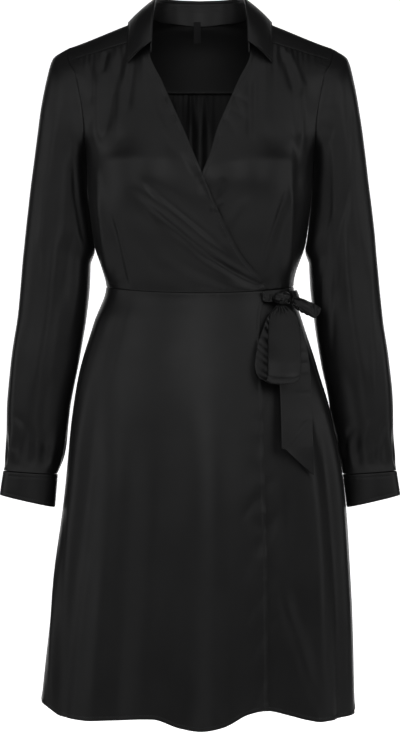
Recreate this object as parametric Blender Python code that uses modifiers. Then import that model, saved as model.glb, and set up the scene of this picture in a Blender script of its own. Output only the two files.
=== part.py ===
"""A knee-length wrap dress in satin, worn hollow: shirt collar, yoke, wrap bodice and skirt, long sleeves with
buttoned cuffs, and a bow at the left side of the waist.

Sizes are in millimetres here and become metres when a mesh is made. +Z is up, the front faces -Y, and the wearer's
left is +X. The origin lies between the shoulders, at the height where the shoulder seams reach the neck.

The cloth follows one base surface, body(w, v). Its rows run round the figure: w is 0 on the centre line and -1 or 1
at the side seam, or at the armhole higher up. v climbs the front from hem to shoulder and goes down the back to the
other hem. Each panel is a patch of that surface, moved out where it lies over another, with its own soft folds.
"""

import math
from collections import namedtuple

import bmesh
import bpy
import mathutils
import numpy as np

METRE = 0.001

# Cloth and sewing
CLOTH = 1.2  # thickness of a single layer
DOUBLE_CLOTH = 1.8  # collar, cuffs and tie are sewn from two layers
LABEL_THICKNESS = 1.0
SEAM_GAP = 0.5  # between the edges of two panels
WAIST_GAP = 0.9  # at the waist, where the panels meet at an angle
WRAP_LIFT = 2.6  # how far the right-hand front lies outside the left-hand one at the waist
DRAPE_LIFT = 2.6  # how much further its loose drape stands off over the ribs
HEM_LIFT = 4.0  # how much further it stands off at the hem
SLEEVE_SEAM_GAP = 0.7  # between the sleeve and the edge of the armhole

# ---------------------------------------------------------------------------------------------------------------
# The figure that the cloth is cut for: one row for each section of the dress, from front hem to back hem

Section = namedtuple("Section", "name mid_y mid_z edge_x edge_y edge_z sway mid_reach edge_reach edge_turn")
SECTIONS = [
    Section("front hem", -172, -950, 216, -18, -950, -1.5, 0.62, 1.00, 0.60),
    Section("front knee", -157, -800, 206, -20, -800, 3.5, 0.62, 1.00, 0.60),
    Section("front thigh", -142, -660, 193.5, -20, -660, 6.6, 0.62, 1.00, 0.60),
    Section("front seat", -128, -560, 180, -20, -560, 3.0, 0.62, 1.00, 0.60),
    Section("front hip", -114, -490, 164, -14, -490, -1.6, 0.62, 1.00, 0.60),
    Section("front high hip", -100, -430, 145.7, -5, -430, -2.3, 0.61, 1.00, 0.60),
    Section("front waist", -92, -390, 130.5, 0, -378, 0, 0.60, 1.00, 0.60),
    Section("front ribs", -106, -315, 148, 0, -315, 0, 0.61, 1.00, 0.60),
    Section("bust", -118, -240, 157, 0, -232, 0, 0.62, 1.00, 0.60),
    Section("chest", -100, -170, 159, -57, -165, 0, 0.50, 0.86, 0.55),
    Section("upper chest", -72, -92, 171, -47, -90, 0, 0.42, 0.75, 0.45),
    Section("front yoke seam", -38, -25, 183, -25, -65, 0, 0.36, 0.68, 0.50),
    Section("shoulder ridge", 5, 11, 186, 2, -45.5, 0, 0.36, 0.68, 0.50),
    Section("back neck", 66, 1, 185.5, 13, -49, 0, 0.36, 0.68, 0.50),
    Section("upper back", 93, -40, 182, 27, -63, 0, 0.40, 0.72, 0.50),
    Section("back yoke seam", 106, -95, 171, 50, -98, 0, 0.45, 0.80, 0.55),
    Section("back arm", 113, -165, 159, 58, -165, 0, 0.50, 0.88, 0.55),
    Section("back armpit", 110, -236, 157, 0, -232, 0, 0.60, 1.00, 0.58),
    Section("back ribs", 97, -315, 148, 0, -315, 0, 0.60, 1.00, 0.60),
    Section("back waist", 82, -386, 130.5, 0, -378, 0, 0.60, 1.00, 0.60),
    Section("back high hip", 100, -430, 145.7, -5, -430, -2.3, 0.60, 1.00, 0.60),
    Section("back hip", 124, -490, 164, -14, -490, -1.6, 0.60, 1.00, 0.58),
    Section("back seat", 138, -560, 180, -20, -560, 3.0, 0.60, 1.00, 0.56),
    Section("back thigh", 146, -660, 193.5, -20, -660, 6.6, 0.60, 1.00, 0.56),
    Section("back knee", 154, -800, 206, -20, -800, 3.5, 0.60, 1.00, 0.56),
    Section("back hem", 166, -950, 216, -18, -950, -1.5, 0.60, 1.00, 0.56),
]


def smoothstep(share):
    """0 up to 1 with level ends, for a share from 0 to 1."""
    share = np.clip(share, 0, 1)
    return share * share * (3 - 2 * share)


def through(knots, values):
    """A smooth curve through the rows of a table that never swings past them: monotone cubic interpolation."""
    knots, values = np.asarray(knots, float), np.asarray(values, float)
    step = np.diff(knots)
    rise = np.diff(values) / step
    slope = np.concatenate([[rise[0]], np.zeros(len(rise) - 1), [rise[-1]]])
    for i in range(1, len(rise)):
        if rise[i - 1] * rise[i] > 0:
            before, after = 2 * step[i] + step[i - 1], step[i] + 2 * step[i - 1]
            slope[i] = (before + after) / (before / rise[i - 1] + after / rise[i])

    def at(t):
        t = np.clip(t, knots[0], knots[-1])
        i = np.clip(np.searchsorted(knots, t, side="right") - 1, 0, len(step) - 1)
        s = (t - knots[i]) / step[i]
        start = values[i] * (1 + 2 * s) + slope[i] * step[i] * s
        end = values[i + 1] * (3 - 2 * s) - slope[i + 1] * step[i] * (1 - s)
        return start * (1 - s) ** 2 + end * s**2

    return at


def section_places():
    """Where each section lies along v: the distance gone from row to row, about half way out from the middle."""
    half_way = np.array([(0.55 * s.edge_x, (2 * s.mid_y + s.edge_y) / 3, (s.mid_z + s.edge_z) / 2) for s in SECTIONS])
    steps = np.linalg.norm(np.diff(half_way, axis=0), axis=1)
    return np.concatenate([[0], np.cumsum(steps)])


PLACES = section_places()
AT = {section.name: place for section, place in zip(SECTIONS, PLACES)}
WAIST_Z = next(section.mid_z for section in SECTIONS if section.name == "front waist")
HEM_Z = SECTIONS[0].mid_z
BODY = {
    column: through(PLACES, [getattr(section, column) for section in SECTIONS])
    for column in Section._fields
    if column != "name"
}


def body(w, v):
    """Points of the base surface: each row is a cubic Bezier curve from the centre line to the edge."""
    u = np.abs(w)
    near, first, second, far = (1 - u) ** 3, 3 * u * (1 - u) ** 2, 3 * u**2 * (1 - u), u**3
    c = {column: curve(v) for column, curve in BODY.items()}
    out = first * c["mid_reach"] + second * c["edge_reach"] + far
    x = c["sway"] + np.sign(w) * c["edge_x"] * out
    turn_y = c["edge_y"] + c["edge_turn"] * (c["mid_y"] - c["edge_y"])
    y = (near + first) * c["mid_y"] + second * turn_y + far * c["edge_y"]
    turn_z = c["edge_z"] + (c["mid_z"] - c["edge_z"]) / 3
    z = (near + first) * c["mid_z"] + second * turn_z + far * c["edge_z"]
    return np.stack([x, y, z], axis=-1)


def unit(vectors):
    return vectors / np.maximum(np.linalg.norm(vectors, axis=-1, keepdims=True), 1e-9)


def outward(w, v):
    """The direction that points out of the base surface."""
    across = body(w + 1e-3, v) - body(w - 1e-3, v)
    along = body(w, v + 0.5) - body(w, v - 0.5)
    return unit(np.cross(across, along))


def cut(v, edge_x, low=-1.0, high=1.0):
    """The w on each row where the surface crosses an edge. edge_x gives the edge's x from a point's y and z."""
    low, high = np.full_like(v, low, dtype=float), np.full_like(v, high, dtype=float)
    for _ in range(30):
        middle = (low + high) / 2
        p = body(middle, v)
        beyond = p[..., 0] > edge_x(p[..., 1], p[..., 2])
        high, low = np.where(beyond, middle, high), np.where(beyond, low, middle)
    return (low + high) / 2


# ---------------------------------------------------------------------------------------------------------------
# Edges of the panels

NECK_HALF_WIDTH = 69
NECK_SIDE_Y = 8  # where the neckline is widest
NECK_BACK_Y = 73  # the neckline at the centre of the back
COLLAR_END_Z = -58  # the collar's front ends, and the top of the open neck

EdgePoint = namedtuple("EdgePoint", "z x")
WRAP_EDGE = [  # of the right-hand front: from the hem, up the skirt, across the waist and bust to the collar's end
    EdgePoint(-980, 90),
    EdgePoint(-760, 89),
    EdgePoint(-620, 85),
    EdgePoint(-500, 83),
    EdgePoint(-430, 81),
    EdgePoint(-386, 87),
    EdgePoint(-334, 52.5),
    EdgePoint(-280, 25),
    EdgePoint(-232, 3),
    EdgePoint(-161, -26),
    EdgePoint(-100, -52),
    EdgePoint(COLLAR_END_Z, -NECK_HALF_WIDTH),
    EdgePoint(20, -NECK_HALF_WIDTH),
]
UNDERLAP_X = -60  # how far the left-hand skirt reaches under the right-hand one
UNDER_SINK = 0.6  # the left-hand front is drawn in a little where it is covered
UNDER_SHIFT, UNDER_SHIFT_Z, UNDER_SHIFT_OVER = 5, -160, 50  # the left-hand edge lies off its mirror below here
wrap_edge_at = through([point.z for point in WRAP_EDGE], [point.x for point in WRAP_EDGE])


def right_edge(y, z):
    return wrap_edge_at(z)


def left_edge(y, z):
    """The left-hand front is cut as the mirror of the right-hand one, and is set a little further to the left."""
    return -wrap_edge_at(z) + UNDER_SHIFT * smoothstep((UNDER_SHIFT_Z - z) / UNDER_SHIFT_OVER)


def underlap_edge(y, z):
    return np.full_like(z, UNDERLAP_X)


def neck_edge(y, z):
    """Half the width of the neckline: straight beside the neck, and a half ellipse round the back."""
    share = np.clip((y - NECK_SIDE_Y) / (NECK_BACK_Y - NECK_SIDE_Y), 0, 1)
    return NECK_HALF_WIDTH * np.sqrt(1 - share**2)


# ---------------------------------------------------------------------------------------------------------------
# Folds. Each is a soft ridge (height above 0) or trough (below 0) along an arc.

Fold = namedtuple("Fold", "x0 z0 x1 z1 bow width height")
BUST = [(-74, -236), (74, -236)]  # (x, z) of the two fullest points
BUST_WIDTH, BUST_DROP, BUST_HEIGHT = 50, 58, 13
BUST_CALM_SIDE = 40  # the bust dies away over this distance from the side seam
BUST_CALM_WAIST = 60  # and from the waist

FRONT_FOLDS = [
    # let in under the yoke, on the wearer's right and then left
    Fold(-139, -70, -140, -196, 0, 8.0, 2.2),
    Fold(-119, -56, -113, -190, 2, 8.0, 1.6),
    Fold(-104, -46, -124, -184, -3, 7.0, -2.8),
    Fold(-87, -50, -99, -150, -2, 6.0, -2.0),
    Fold(-71, -76, -38, -182, -2, 7.0, -1.8),
    Fold(108, -44, 135, -126, 0, 6.5, -2.4),
    Fold(136, -90, 135, -200, 0, 8.0, 2.2),
    Fold(68, -80, 67, -194, 0, 5.0, -1.6),
    Fold(92, -56, 88, -184, -2, 9.0, 1.6),
    Fold(131, -156, 132, -266, 0, 7.0, -1.8),
    # drape from the bust to the bow
    Fold(-90, -228, 42, -338, 4, 7.0, -2.6),
    Fold(-92, -232, 86, -378, -6, 8.0, 2.4),
    Fold(-98, -244, 104, -396, -12, 7.5, -3.6),
    Fold(-52, -174, 14, -264, -1, 8.0, -2.0),
    # the waist drawn in
    Fold(-132, -228, -119, -388, -2, 7.0, 2.4),
    Fold(-119, -276, -95, -390, 2, 6.0, -2.0),
    Fold(84, -366, 116, -248, 0, 6.0, -2.6),
    Fold(122, -240, 123, -376, 0, 7.0, 2.4),
    Fold(29, -316, 66, -256, 2, 7.0, -2.4),
]
BACK_FOLDS = [
    # the pleat in the middle of the back, let in under the yoke
    Fold(-13, -90, -20, -300, 2, 6.0, 3.4),
    Fold(13, -90, 18, -310, -2, 6.0, 3.4),
    Fold(0, -96, 0, -300, 0, 6.5, -4.6),
    # soft drag towards the waist
    Fold(-52, -388, -72, -250, -5, 9.0, 3.2),
    Fold(-84, -384, -110, -270, -5, 8.0, -2.6),
    Fold(56, -388, 70, -240, 5, 9.0, 3.0),
    Fold(90, -384, 106, -280, 4, 8.0, -2.8),
    Fold(-26, -388, -34, -300, -3, 7.0, -2.2),
    Fold(24, -388, 30, -310, 2, 7.0, 2.0),
]
# In the skirt the folds run down it, so x is the distance from the centre line along the hem.
SKIRT_FRONT_FOLDS = [
    Fold(4, -470, 6, -1100, 0, 38, 11),
    Fold(-62, -540, -64, -1100, 0, 26, -5),
    Fold(-118, -480, -128, -1100, 0, 32, 4.5),
    Fold(-205, -440, -240, -1100, 0, 28, 4),
    Fold(-176, -480, -190, -1100, 0, 20, -3),
    Fold(62, -580, 66, -1100, 0, 22, -4.5),
    Fold(104, -560, 106, -1100, 0, 20, -4.5),
    Fold(150, -600, 128, -1100, 0, 18, -3),
    Fold(150, -420, 166, -1100, 0, 26, 7),
    Fold(238, -430, 246, -1100, 0, 28, 5),
    Fold(206, -500, 214, -1100, 0, 20, -4),
]
SKIRT_BACK_FOLDS = [
    Fold(-30, -470, -34, -1100, 0, 34, 9),
    Fold(24, -560, 28, -1100, 0, 26, -6),
    Fold(84, -480, 92, -1100, 0, 32, 8),
    Fold(-98, -540, -104, -1100, 0, 28, -6),
    Fold(-160, -480, -176, -1100, 0, 32, 7),
    Fold(150, -560, 160, -1100, 0, 26, -5),
    Fold(220, -480, 232, -1100, 0, 28, 5),
    Fold(-238, -560, -246, -1100, 0, 24, -4),
]
HEM_QUARTER = 312  # from the centre line to the side seam, along the hem
FOLD_FADE = 0.28  # the share of a fold's length over which each end dies away
SEAM_CALM = 14  # folds are flattened into a seam over this distance
SKIRT_SEAM_CALM = 30  # and into the skirt's side seams

# Where the right-hand front comes to lie outside the left-hand one, and where its loose drape starts and ends
WRAP_START_Z, WRAP_START_OVER = -115, 75
DRAPE_START_Z, DRAPE_START_OVER = -235, 50
DRAPE_END_Z, DRAPE_END_OVER = -388, 40
HEM_LIFT_START_Z, HEM_LIFT_OVER = -400, 400
SIDE_REST = 0.28  # the share of the half row over which it comes back to rest at the side seam
UNDER_MARGIN = 12  # the left-hand front calms down over this distance each way of the wrap edge

HemPoint = namedtuple("HemPoint", "round z")
FRONT_HEM = [
    HemPoint(-312, -947),
    HemPoint(-243, -947.4),
    HemPoint(-214, -953.4),
    HemPoint(-194, -960.4),
    HemPoint(-143, -962.4),
    HemPoint(-103, -959.4),
    HemPoint(-50, -956.4),
    HemPoint(-20, -966.8),
    HemPoint(2, -971),
    HemPoint(22, -967),
    HemPoint(54, -950),
    HemPoint(75, -946),
    HemPoint(111, -954),
    HemPoint(136, -961),
    HemPoint(162, -965.6),
    HemPoint(232, -964.6),
    HemPoint(312, -961.6),
]
BACK_HEM = [HemPoint(-312, -947), HemPoint(-160, -960), HemPoint(0, -956), HemPoint(90, -961), HemPoint(312, -961.6)]


def fold_height(x, z, fold):
    run = math.hypot(fold.x1 - fold.x0, fold.z1 - fold.z0)
    ahead_x, ahead_z = (fold.x1 - fold.x0) / run, (fold.z1 - fold.z0) / run
    along = ((x - fold.x0) * ahead_x + (z - fold.z0) * ahead_z) / run
    aside = (z - fold.z0) * ahead_x - (x - fold.x0) * ahead_z - 4 * fold.bow * along * (1 - along)
    ends = smoothstep(along / FOLD_FADE) * smoothstep((1 - along) / FOLD_FADE)
    return fold.height * np.exp(-((aside / fold.width) ** 2)) * ends


def folds_height(x, z, folds):
    return sum(fold_height(x, z, fold) for fold in folds)


def bust_height(x, z):
    bumps = [np.exp(-(((x - bx) / BUST_WIDTH) ** 2) - ((z - bz) / BUST_DROP) ** 2) for bx, bz in BUST]
    return BUST_HEIGHT * sum(bumps)


def is_front(v):
    return v < AT["shoulder ridge"]


def bodice_relief(w, v):
    """Height of folds and bust over the base, dying away at the yoke, waist and armhole seams."""
    p = body(w, v)
    x, z = p[..., 0], p[..., 2]
    front = folds_height(x, z, FRONT_FOLDS)
    back = folds_height(x, z, BACK_FOLDS)
    yoke = np.minimum(np.abs(v - AT["front yoke seam"]), np.abs(v - AT["back yoke seam"]))
    waist = np.minimum(np.abs(v - AT["front waist"]), np.abs(v - AT["back waist"]))
    side = (1 - np.abs(w)) * BODY["edge_x"](v)
    calm = smoothstep(yoke / SEAM_CALM) * smoothstep(waist / SEAM_CALM) * smoothstep(side / SEAM_CALM)
    between = (v > AT["front yoke seam"]) & (v < AT["back yoke seam"])
    calm = np.where(between, 0, calm)
    bust = bust_height(x, z) * smoothstep(side / BUST_CALM_SIDE) * smoothstep(waist / BUST_CALM_WAIST)
    return np.where(is_front(v), front * calm + bust, back * calm)


def skirt_relief(w, v):
    p = body(w, v)
    across, z = w * HEM_QUARTER, p[..., 2]
    front = folds_height(across, z, SKIRT_FRONT_FOLDS)
    back = folds_height(across, z, SKIRT_BACK_FOLDS)
    side = (1 - np.abs(w)) * HEM_QUARTER
    return np.where(is_front(v), front, back) * smoothstep(side / SKIRT_SEAM_CALM)


front_hem_at = through([point.round for point in FRONT_HEM], [point.z for point in FRONT_HEM])
back_hem_at = through([point.round for point in BACK_HEM], [point.z for point in BACK_HEM])


def hem_drop(w, v):
    """How far a point of the skirt hangs below the base surface, most of it near the hem."""
    z = body(w, v)[..., 2]
    hem = np.where(is_front(v), front_hem_at(w * HEM_QUARTER), back_hem_at(w * HEM_QUARTER))
    down = np.clip((z - WAIST_Z) / (HEM_Z - WAIST_Z), 0, 1)
    return (hem - HEM_Z) * down**2


def wrap_lift(w, v):
    """The right-hand front lies outside the left-hand one wherever the two overlap, and joins the side at rest."""
    z = body(w, v)[..., 2]
    drape = smoothstep((DRAPE_START_Z - z) / DRAPE_START_OVER) * smoothstep((z - DRAPE_END_Z) / DRAPE_END_OVER)
    hem = smoothstep((HEM_LIFT_START_Z - z) / HEM_LIFT_OVER)
    lift = WRAP_LIFT + DRAPE_LIFT * drape + HEM_LIFT * hem
    return lift * smoothstep((w + 1) / SIDE_REST) * smoothstep((WRAP_START_Z - z) / WRAP_START_OVER)


def under_sink(w, v):
    """The left-hand front lies under the other one beyond its wrap edge, where it has no folds of its own."""
    p = body(w, v)
    beyond = wrap_edge_at(p[..., 2]) - p[..., 0]
    covered = smoothstep((beyond / UNDER_MARGIN + 1) / 2)
    own = bodice_relief(w, v) - bust_height(p[..., 0], p[..., 2])
    return -covered * (np.where(is_front(v), own, 0) + UNDER_SINK)


def bodice_points(w, v, lift=0.0):
    return body(w, v) + outward(w, v) * (bodice_relief(w, v) + lift)[..., None]


def skirt_points(w, v, lift=0.0):
    p = body(w, v) + outward(w, v) * (skirt_relief(w, v) + lift)[..., None]
    p[..., 2] += hem_drop(w, v)
    return p


# ---------------------------------------------------------------------------------------------------------------
# Making solids

Finish = namedtuple("Finish", "colour roughness")
SATIN = Finish((0.012, 0.012, 0.013), 0.36)
LABEL_CLOTH = Finish((0.020, 0.020, 0.021), 0.7)
BUTTON_BLACK = Finish((0.010, 0.010, 0.010), 0.25)


def new_material(name, finish):
    made = bpy.data.materials.new(name)
    made.use_nodes = True
    shader = made.node_tree.nodes["Principled BSDF"]
    shader.inputs["Base Color"].default_value = (*finish.colour, 1)
    shader.inputs["Roughness"].default_value = finish.roughness
    shader.inputs["Metallic"].default_value = 0
    return made


def new_object(name, mesh, finish, collection):
    mesh.shade_smooth()
    mesh.materials.append(new_material(name, finish))
    made = bpy.data.objects.new(name, mesh)
    collection.objects.link(made)
    return made


def grid_faces(rows, columns, closed=False):
    """The quads of a grid of points, numbered row by row. A closed grid joins its last column to its first."""
    faces = []
    for i in range(rows - 1):
        for j in range(columns if closed else columns - 1):
            k = (j + 1) % columns
            faces.append((i * columns + j, i * columns + k, (i + 1) * columns + k, (i + 1) * columns + j))
    return faces


def add_thickness(made, thickness):
    solidify = made.modifiers.new("cloth", "SOLIDIFY")
    solidify.thickness = thickness * METRE
    solidify.offset = 0
    solidify.use_quality_normals = True


def wall(name, points, collection, thickness=CLOTH, closed=False, finish=SATIN):
    """A cloth wall: an open surface through the points, given its thickness by Solidify, half to each side."""
    mesh = bpy.data.meshes.new(name)
    faces = grid_faces(points.shape[0], points.shape[1], closed)
    mesh.from_pydata((points.reshape(-1, 3) * METRE).tolist(), [], faces)
    made = new_object(name, mesh, finish, collection)
    add_thickness(made, thickness)
    return made


def from_bmesh(name, bm, collection, finish=SATIN):
    mesh = bpy.data.meshes.new(name)
    bm.to_mesh(mesh)
    bm.free()
    return new_object(name, mesh, finish, collection)


# ---------------------------------------------------------------------------------------------------------------
# Bodice and skirt panels


def trimmed(v):
    """Half a seam gap at a side edge, as a share of the half row."""
    return SEAM_GAP / 2 / BODY["edge_x"](v)


def right_side(v):
    return -1 + trimmed(v)


def left_side(v):
    return 1 - trimmed(v)


def patch(places, columns, low, high):
    """The (w, v) of a panel's grid: a row at each place along v, from its low edge to its high edge."""
    share = np.linspace(0, 1, columns)
    w = low(places)[:, None] * (1 - share) + high(places)[:, None] * share
    return w, np.broadcast_to(places[:, None], w.shape)


def places(start, end, rows):
    """Places along v from one seam to another, clear of both."""
    gap = {name: WAIST_GAP if name.endswith("waist") else SEAM_GAP for name in (start, end)}
    return np.linspace(AT[start] + gap[start] / 2, AT[end] - gap[end] / 2, rows)


def wrap_side(v):
    return cut(v, right_edge)


def make_bodice(collection):
    front = places("front waist", "front yoke seam", 19)
    w, v = patch(front, 20, right_side, wrap_side)
    wall("bodice_front_right", bodice_points(w, v, wrap_lift(w, v)), collection)
    w, v = patch(front, 20, lambda v: cut(v, left_edge), left_side)
    wall("bodice_front_left", bodice_points(w, v, under_sink(w, v)), collection)
    w, v = patch(places("back yoke seam", "back waist", 13), 23, right_side, left_side)
    wall("bodice_back", bodice_points(w, v), collection)


def make_skirt(collection):
    front = places("front hem", "front waist", 13)
    w, v = patch(front, 21, right_side, wrap_side)
    wall("skirt_front_right", skirt_points(w, v, wrap_lift(w, v)), collection)
    w, v = patch(front, 17, lambda v: cut(v, underlap_edge), left_side)
    wall("skirt_front_left", skirt_points(w, v), collection)
    w, v = patch(places("back waist", "back hem", 13), 25, right_side, left_side)
    wall("skirt_back", skirt_points(w, v), collection)


# ---------------------------------------------------------------------------------------------------------------
# Yoke and collar


def along_edge(v, w, count):
    """The (w, v) of points at even distances along an edge that is given at many places."""
    p = body(w, v)
    length = np.concatenate([[0], np.cumsum(np.linalg.norm(np.diff(p, axis=0), axis=1))])
    even = np.linspace(0, length[-1], count)
    return np.interp(even, length, w), np.interp(even, length, v)


def neck_start():
    """The place along v where the front neckline is as high as the collar's end."""
    v = np.linspace(AT["upper chest"], AT["front yoke seam"], 200)
    z = body(cut(v, neck_edge, 0.0, 1.0), v)[:, 2]
    return float(np.interp(COLLAR_END_Z, z, v))


def neck_back():
    """The place along v where the neckline crosses the middle of the back."""
    v = np.linspace(AT["back neck"] - 30, AT["upper back"], 400)
    y = body(np.zeros_like(v), v)[:, 1]
    return float(np.interp(NECK_BACK_Y, y, v))


def neckline(start, count):
    """The (w, v) of the left half of the neckline, from a place on the front to the middle of the back."""
    v = np.linspace(start, neck_back(), 600)
    v = start + (v - start) * (2 - (v - start) / (v[-1] - start))  # closer together at the back
    return along_edge(v, cut(v, neck_edge, 0.0, 1.0), count)


def make_yoke(collection):
    """Two strips over the shoulders that become one piece behind the neck. Each row runs from neck to armhole."""
    neck_rows, back_rows, columns = 14, 5, 7
    start = AT["front yoke seam"] + SEAM_GAP / 2
    end = AT["back yoke seam"] - SEAM_GAP / 2
    neck_w, neck_v = neckline(start, neck_rows)
    down = np.linspace(neck_back(), end, back_rows)[1:]
    inner_w = np.concatenate([neck_w, np.zeros(back_rows - 1)])
    inner_v = np.concatenate([neck_v, down])
    edge_v = np.linspace(start, end, 200)
    outer_w, outer_v = along_edge(edge_v, left_side(edge_v), len(inner_v))
    share = np.linspace(0, 1, columns)
    w = inner_w[:, None] * (1 - share) + outer_w[:, None] * share
    v = inner_v[:, None] * (1 - share) + outer_v[:, None] * share
    left = body(w, v)
    bm = bmesh.new()
    for side in (1, -1):
        points = left * (side, 1, 1) * METRE
        made = [bm.verts.new(p) for p in points.reshape(-1, 3).tolist()]
        for face in grid_faces(*points.shape[:2]):
            bm.faces.new([made[i] for i in face][::side])
    bmesh.ops.remove_doubles(bm, verts=bm.verts, dist=0.01 * METRE)
    add_thickness(from_bmesh("yoke", bm, collection), CLOTH)


Collar = namedtuple("Collar", "name share roll_x roll_y roll_z edge edge_x edge_lift")
COLLAR = [  # the left half, from the front end to the middle of the back: the line it rolls over, and its outer edge
    Collar("front end", 0.00, 67.0, -56, -46, -84, 99, 2.8),
    Collar("front", 0.16, 66.0, -44, -18, -48, 100, 2.6),
    Collar("before the shoulder", 0.32, 64.0, -20, 8, -14, 99, 3.0),
    Collar("shoulder", 0.50, 61.5, 12, 23.5, 22, 97, 4.5),
    Collar("behind the shoulder", 0.68, 54.0, 44, 28, 62, 88, 7.0),
    Collar("back", 0.84, 34.0, 67, 30, 88, 58, 9.0),
    Collar("middle of the back", 1.00, 0.0, 75, 30, 96, 0, 10.0),
]
ROLL = 3.4  # how far apart the two sides of the collar are where it rolls over
STAND_INSIDE, STAND_ABOVE = 1.7, 0.6  # the foot of the stand from the neckline
STAND_HEAD = 0.92  # the share of the way up to the roll at which the stand ends
LEAF_START = 0.33  # the share of the way out at which the leaf's even rows start, after the roll
LEAF_BULGE = 2.5
LABEL_TOP, LABEL_BOTTOM = (67.5, 3), (73, -27)  # y and z of its ends
LABEL_RIGHT_X, LABEL_LEFT_X = -9, 1


def collar_profiles(count):
    """For each place round the left half: the foot and head of the stand, then the leaf from its roll to its edge."""
    share = np.linspace(0, 1, count)
    neck_w, neck_v = neckline(neck_start(), count)
    foot = body(neck_w, neck_v)
    level = foot * (1, 1, 0) - (0, NECK_SIDE_Y, 0)
    inward = -unit(np.stack([level[:, 0], np.maximum(level[:, 1], 0), level[:, 2]], axis=-1))
    foot = foot + inward * STAND_INSIDE + np.array([0, 0, STAND_ABOVE])
    at = {c: through([r.share for r in COLLAR], [getattr(r, c) for r in COLLAR])(share) for c in Collar._fields[1:]}
    roll = np.stack([at["roll_x"], at["roll_y"], at["roll_z"]], axis=-1)
    edge_v = AT["shoulder ridge"] + at["edge"]
    edge_w = np.array([cut(v, lambda y, z: x, 0.0, 1.0) for v, x in zip(edge_v, at["edge_x"])])
    edge_w[-1] = 0
    edge = body(edge_w, edge_v) + outward(edge_w, edge_v) * at["edge_lift"][:, None]
    return foot, roll, edge


def mirrored(points):
    """The whole width from its left half, which ends on the centre line: right-hand end first."""
    left = points.copy()
    left[-1, :, 0] = 0
    return np.concatenate([left * (-1, 1, 1), left[-2::-1]])


def make_collar(collection):
    foot, roll, edge = collar_profiles(14)
    t = unit(np.gradient(roll, axis=0))
    fall = unit(edge - roll)
    out = unit(np.cross(fall, t))
    out[-1, 0] = 0
    stand_share = np.linspace(0, STAND_HEAD, 3)[:, None, None]
    stand = foot * (1 - stand_share) + roll * stand_share
    wall("collar_stand", mirrored(np.swapaxes(stand, 0, 1)), collection, DOUBLE_CLOTH)
    top = roll + out * ROLL / 2 - fall * ROLL / 2
    second = roll + out * ROLL
    leaf_share = np.linspace(LEAF_START, 1, 3)[:, None, None]
    leaf = second * (1 - leaf_share) + edge * leaf_share + out * LEAF_BULGE * np.sin(math.pi * leaf_share)
    rows = np.concatenate([[roll], [top], [second], leaf])
    wall("collar_leaf", mirrored(np.swapaxes(rows, 0, 1)), collection, DOUBLE_CLOTH)


def make_label(collection):
    """A blank woven loop that hangs from the neck seam inside the back."""
    y, z = np.linspace(LABEL_TOP, LABEL_BOTTOM, 5).T
    across = np.linspace(LABEL_RIGHT_X, LABEL_LEFT_X, 3)
    points = np.stack(np.broadcast_arrays(across[None, :], y[:, None], z[:, None]), axis=-1)
    wall("neck_label", points, collection, LABEL_THICKNESS, finish=LABEL_CLOTH)


# ---------------------------------------------------------------------------------------------------------------
# Sleeves and cuffs

Ring = namedtuple("Ring", "name out_x out_z in_x in_z mid_y depth blend")
SLEEVE = [  # the left sleeve from its armhole to the cuff: outermost and innermost point of each ring
    Ring("armhole", 187.5, -45, 158.8, -232, 1, 58, 0.0),
    Ring("cap", 206.5, -60, 161.5, -240, 0, 58, 0.35),
    Ring("upper cap", 214, -90, 160, -251, -1, 57, 0.75),
    Ring("biceps", 223, -143, 152, -270, -2, 55, 1.0),
    Ring("upper arm", 232, -214, 151.5, -300, -4, 52, 1.0),
    Ring("above the elbow", 240.5, -284, 152.5, -334, -6, 50, 1.0),
    Ring("elbow", 247, -352, 154, -374, -9, 48, 1.0),
    Ring("below the elbow", 253.5, -422, 159.5, -426, -12, 47, 1.0),
    Ring("forearm", 262.5, -484, 169, -484, -16, 46, 1.0),
    Ring("lower forearm", 267.5, -548, 180, -540, -20, 45, 1.0),
    Ring("fullest above the cuff", 268, -598, 186, -592, -23, 42, 1.0),
    Ring("gathers", 269.5, -622, 192, -622, -25, 37, 1.0),
    Ring("cuff seam", 271.5, -633, 198.5, -638, -26, 29, 1.0),
]
CUFF = [  # from the cuff seam to the cuff's lower edge
    Ring("cuff top", 271.9, -634.8, 198, -639.8, -26, 29.5, 1.0),
    Ring("cuff bottom", 276.5, -667, 201.5, -684, -29, 28.5, 1.0),
]
CUFF_LAP = 24  # degrees by which the end of the cuff lies over its start
CUFF_LAP_AT = 305  # where the lap ends: the outer back of the wrist
CUFF_LAP_LIFT = 2.5
CUFF_LAP_OVER = 60  # degrees over which the lap rises off the cuff
BUTTON_IN = 12  # degrees from the end of the lap to the button
BUTTON_RADIUS = 5.5
BUTTON_SIDES = 16
BUTTON_FACE, BUTTON_RIM = 1.7, 2.2  # how thick it is inside its rim and at it
RIM_WIDTH, RIM_SLOPE, BACK_EDGE = 1.4, 0.6, 0.5
BUTTON_CLEAR = 0.8  # from the cloth to the flat back of the button

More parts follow.
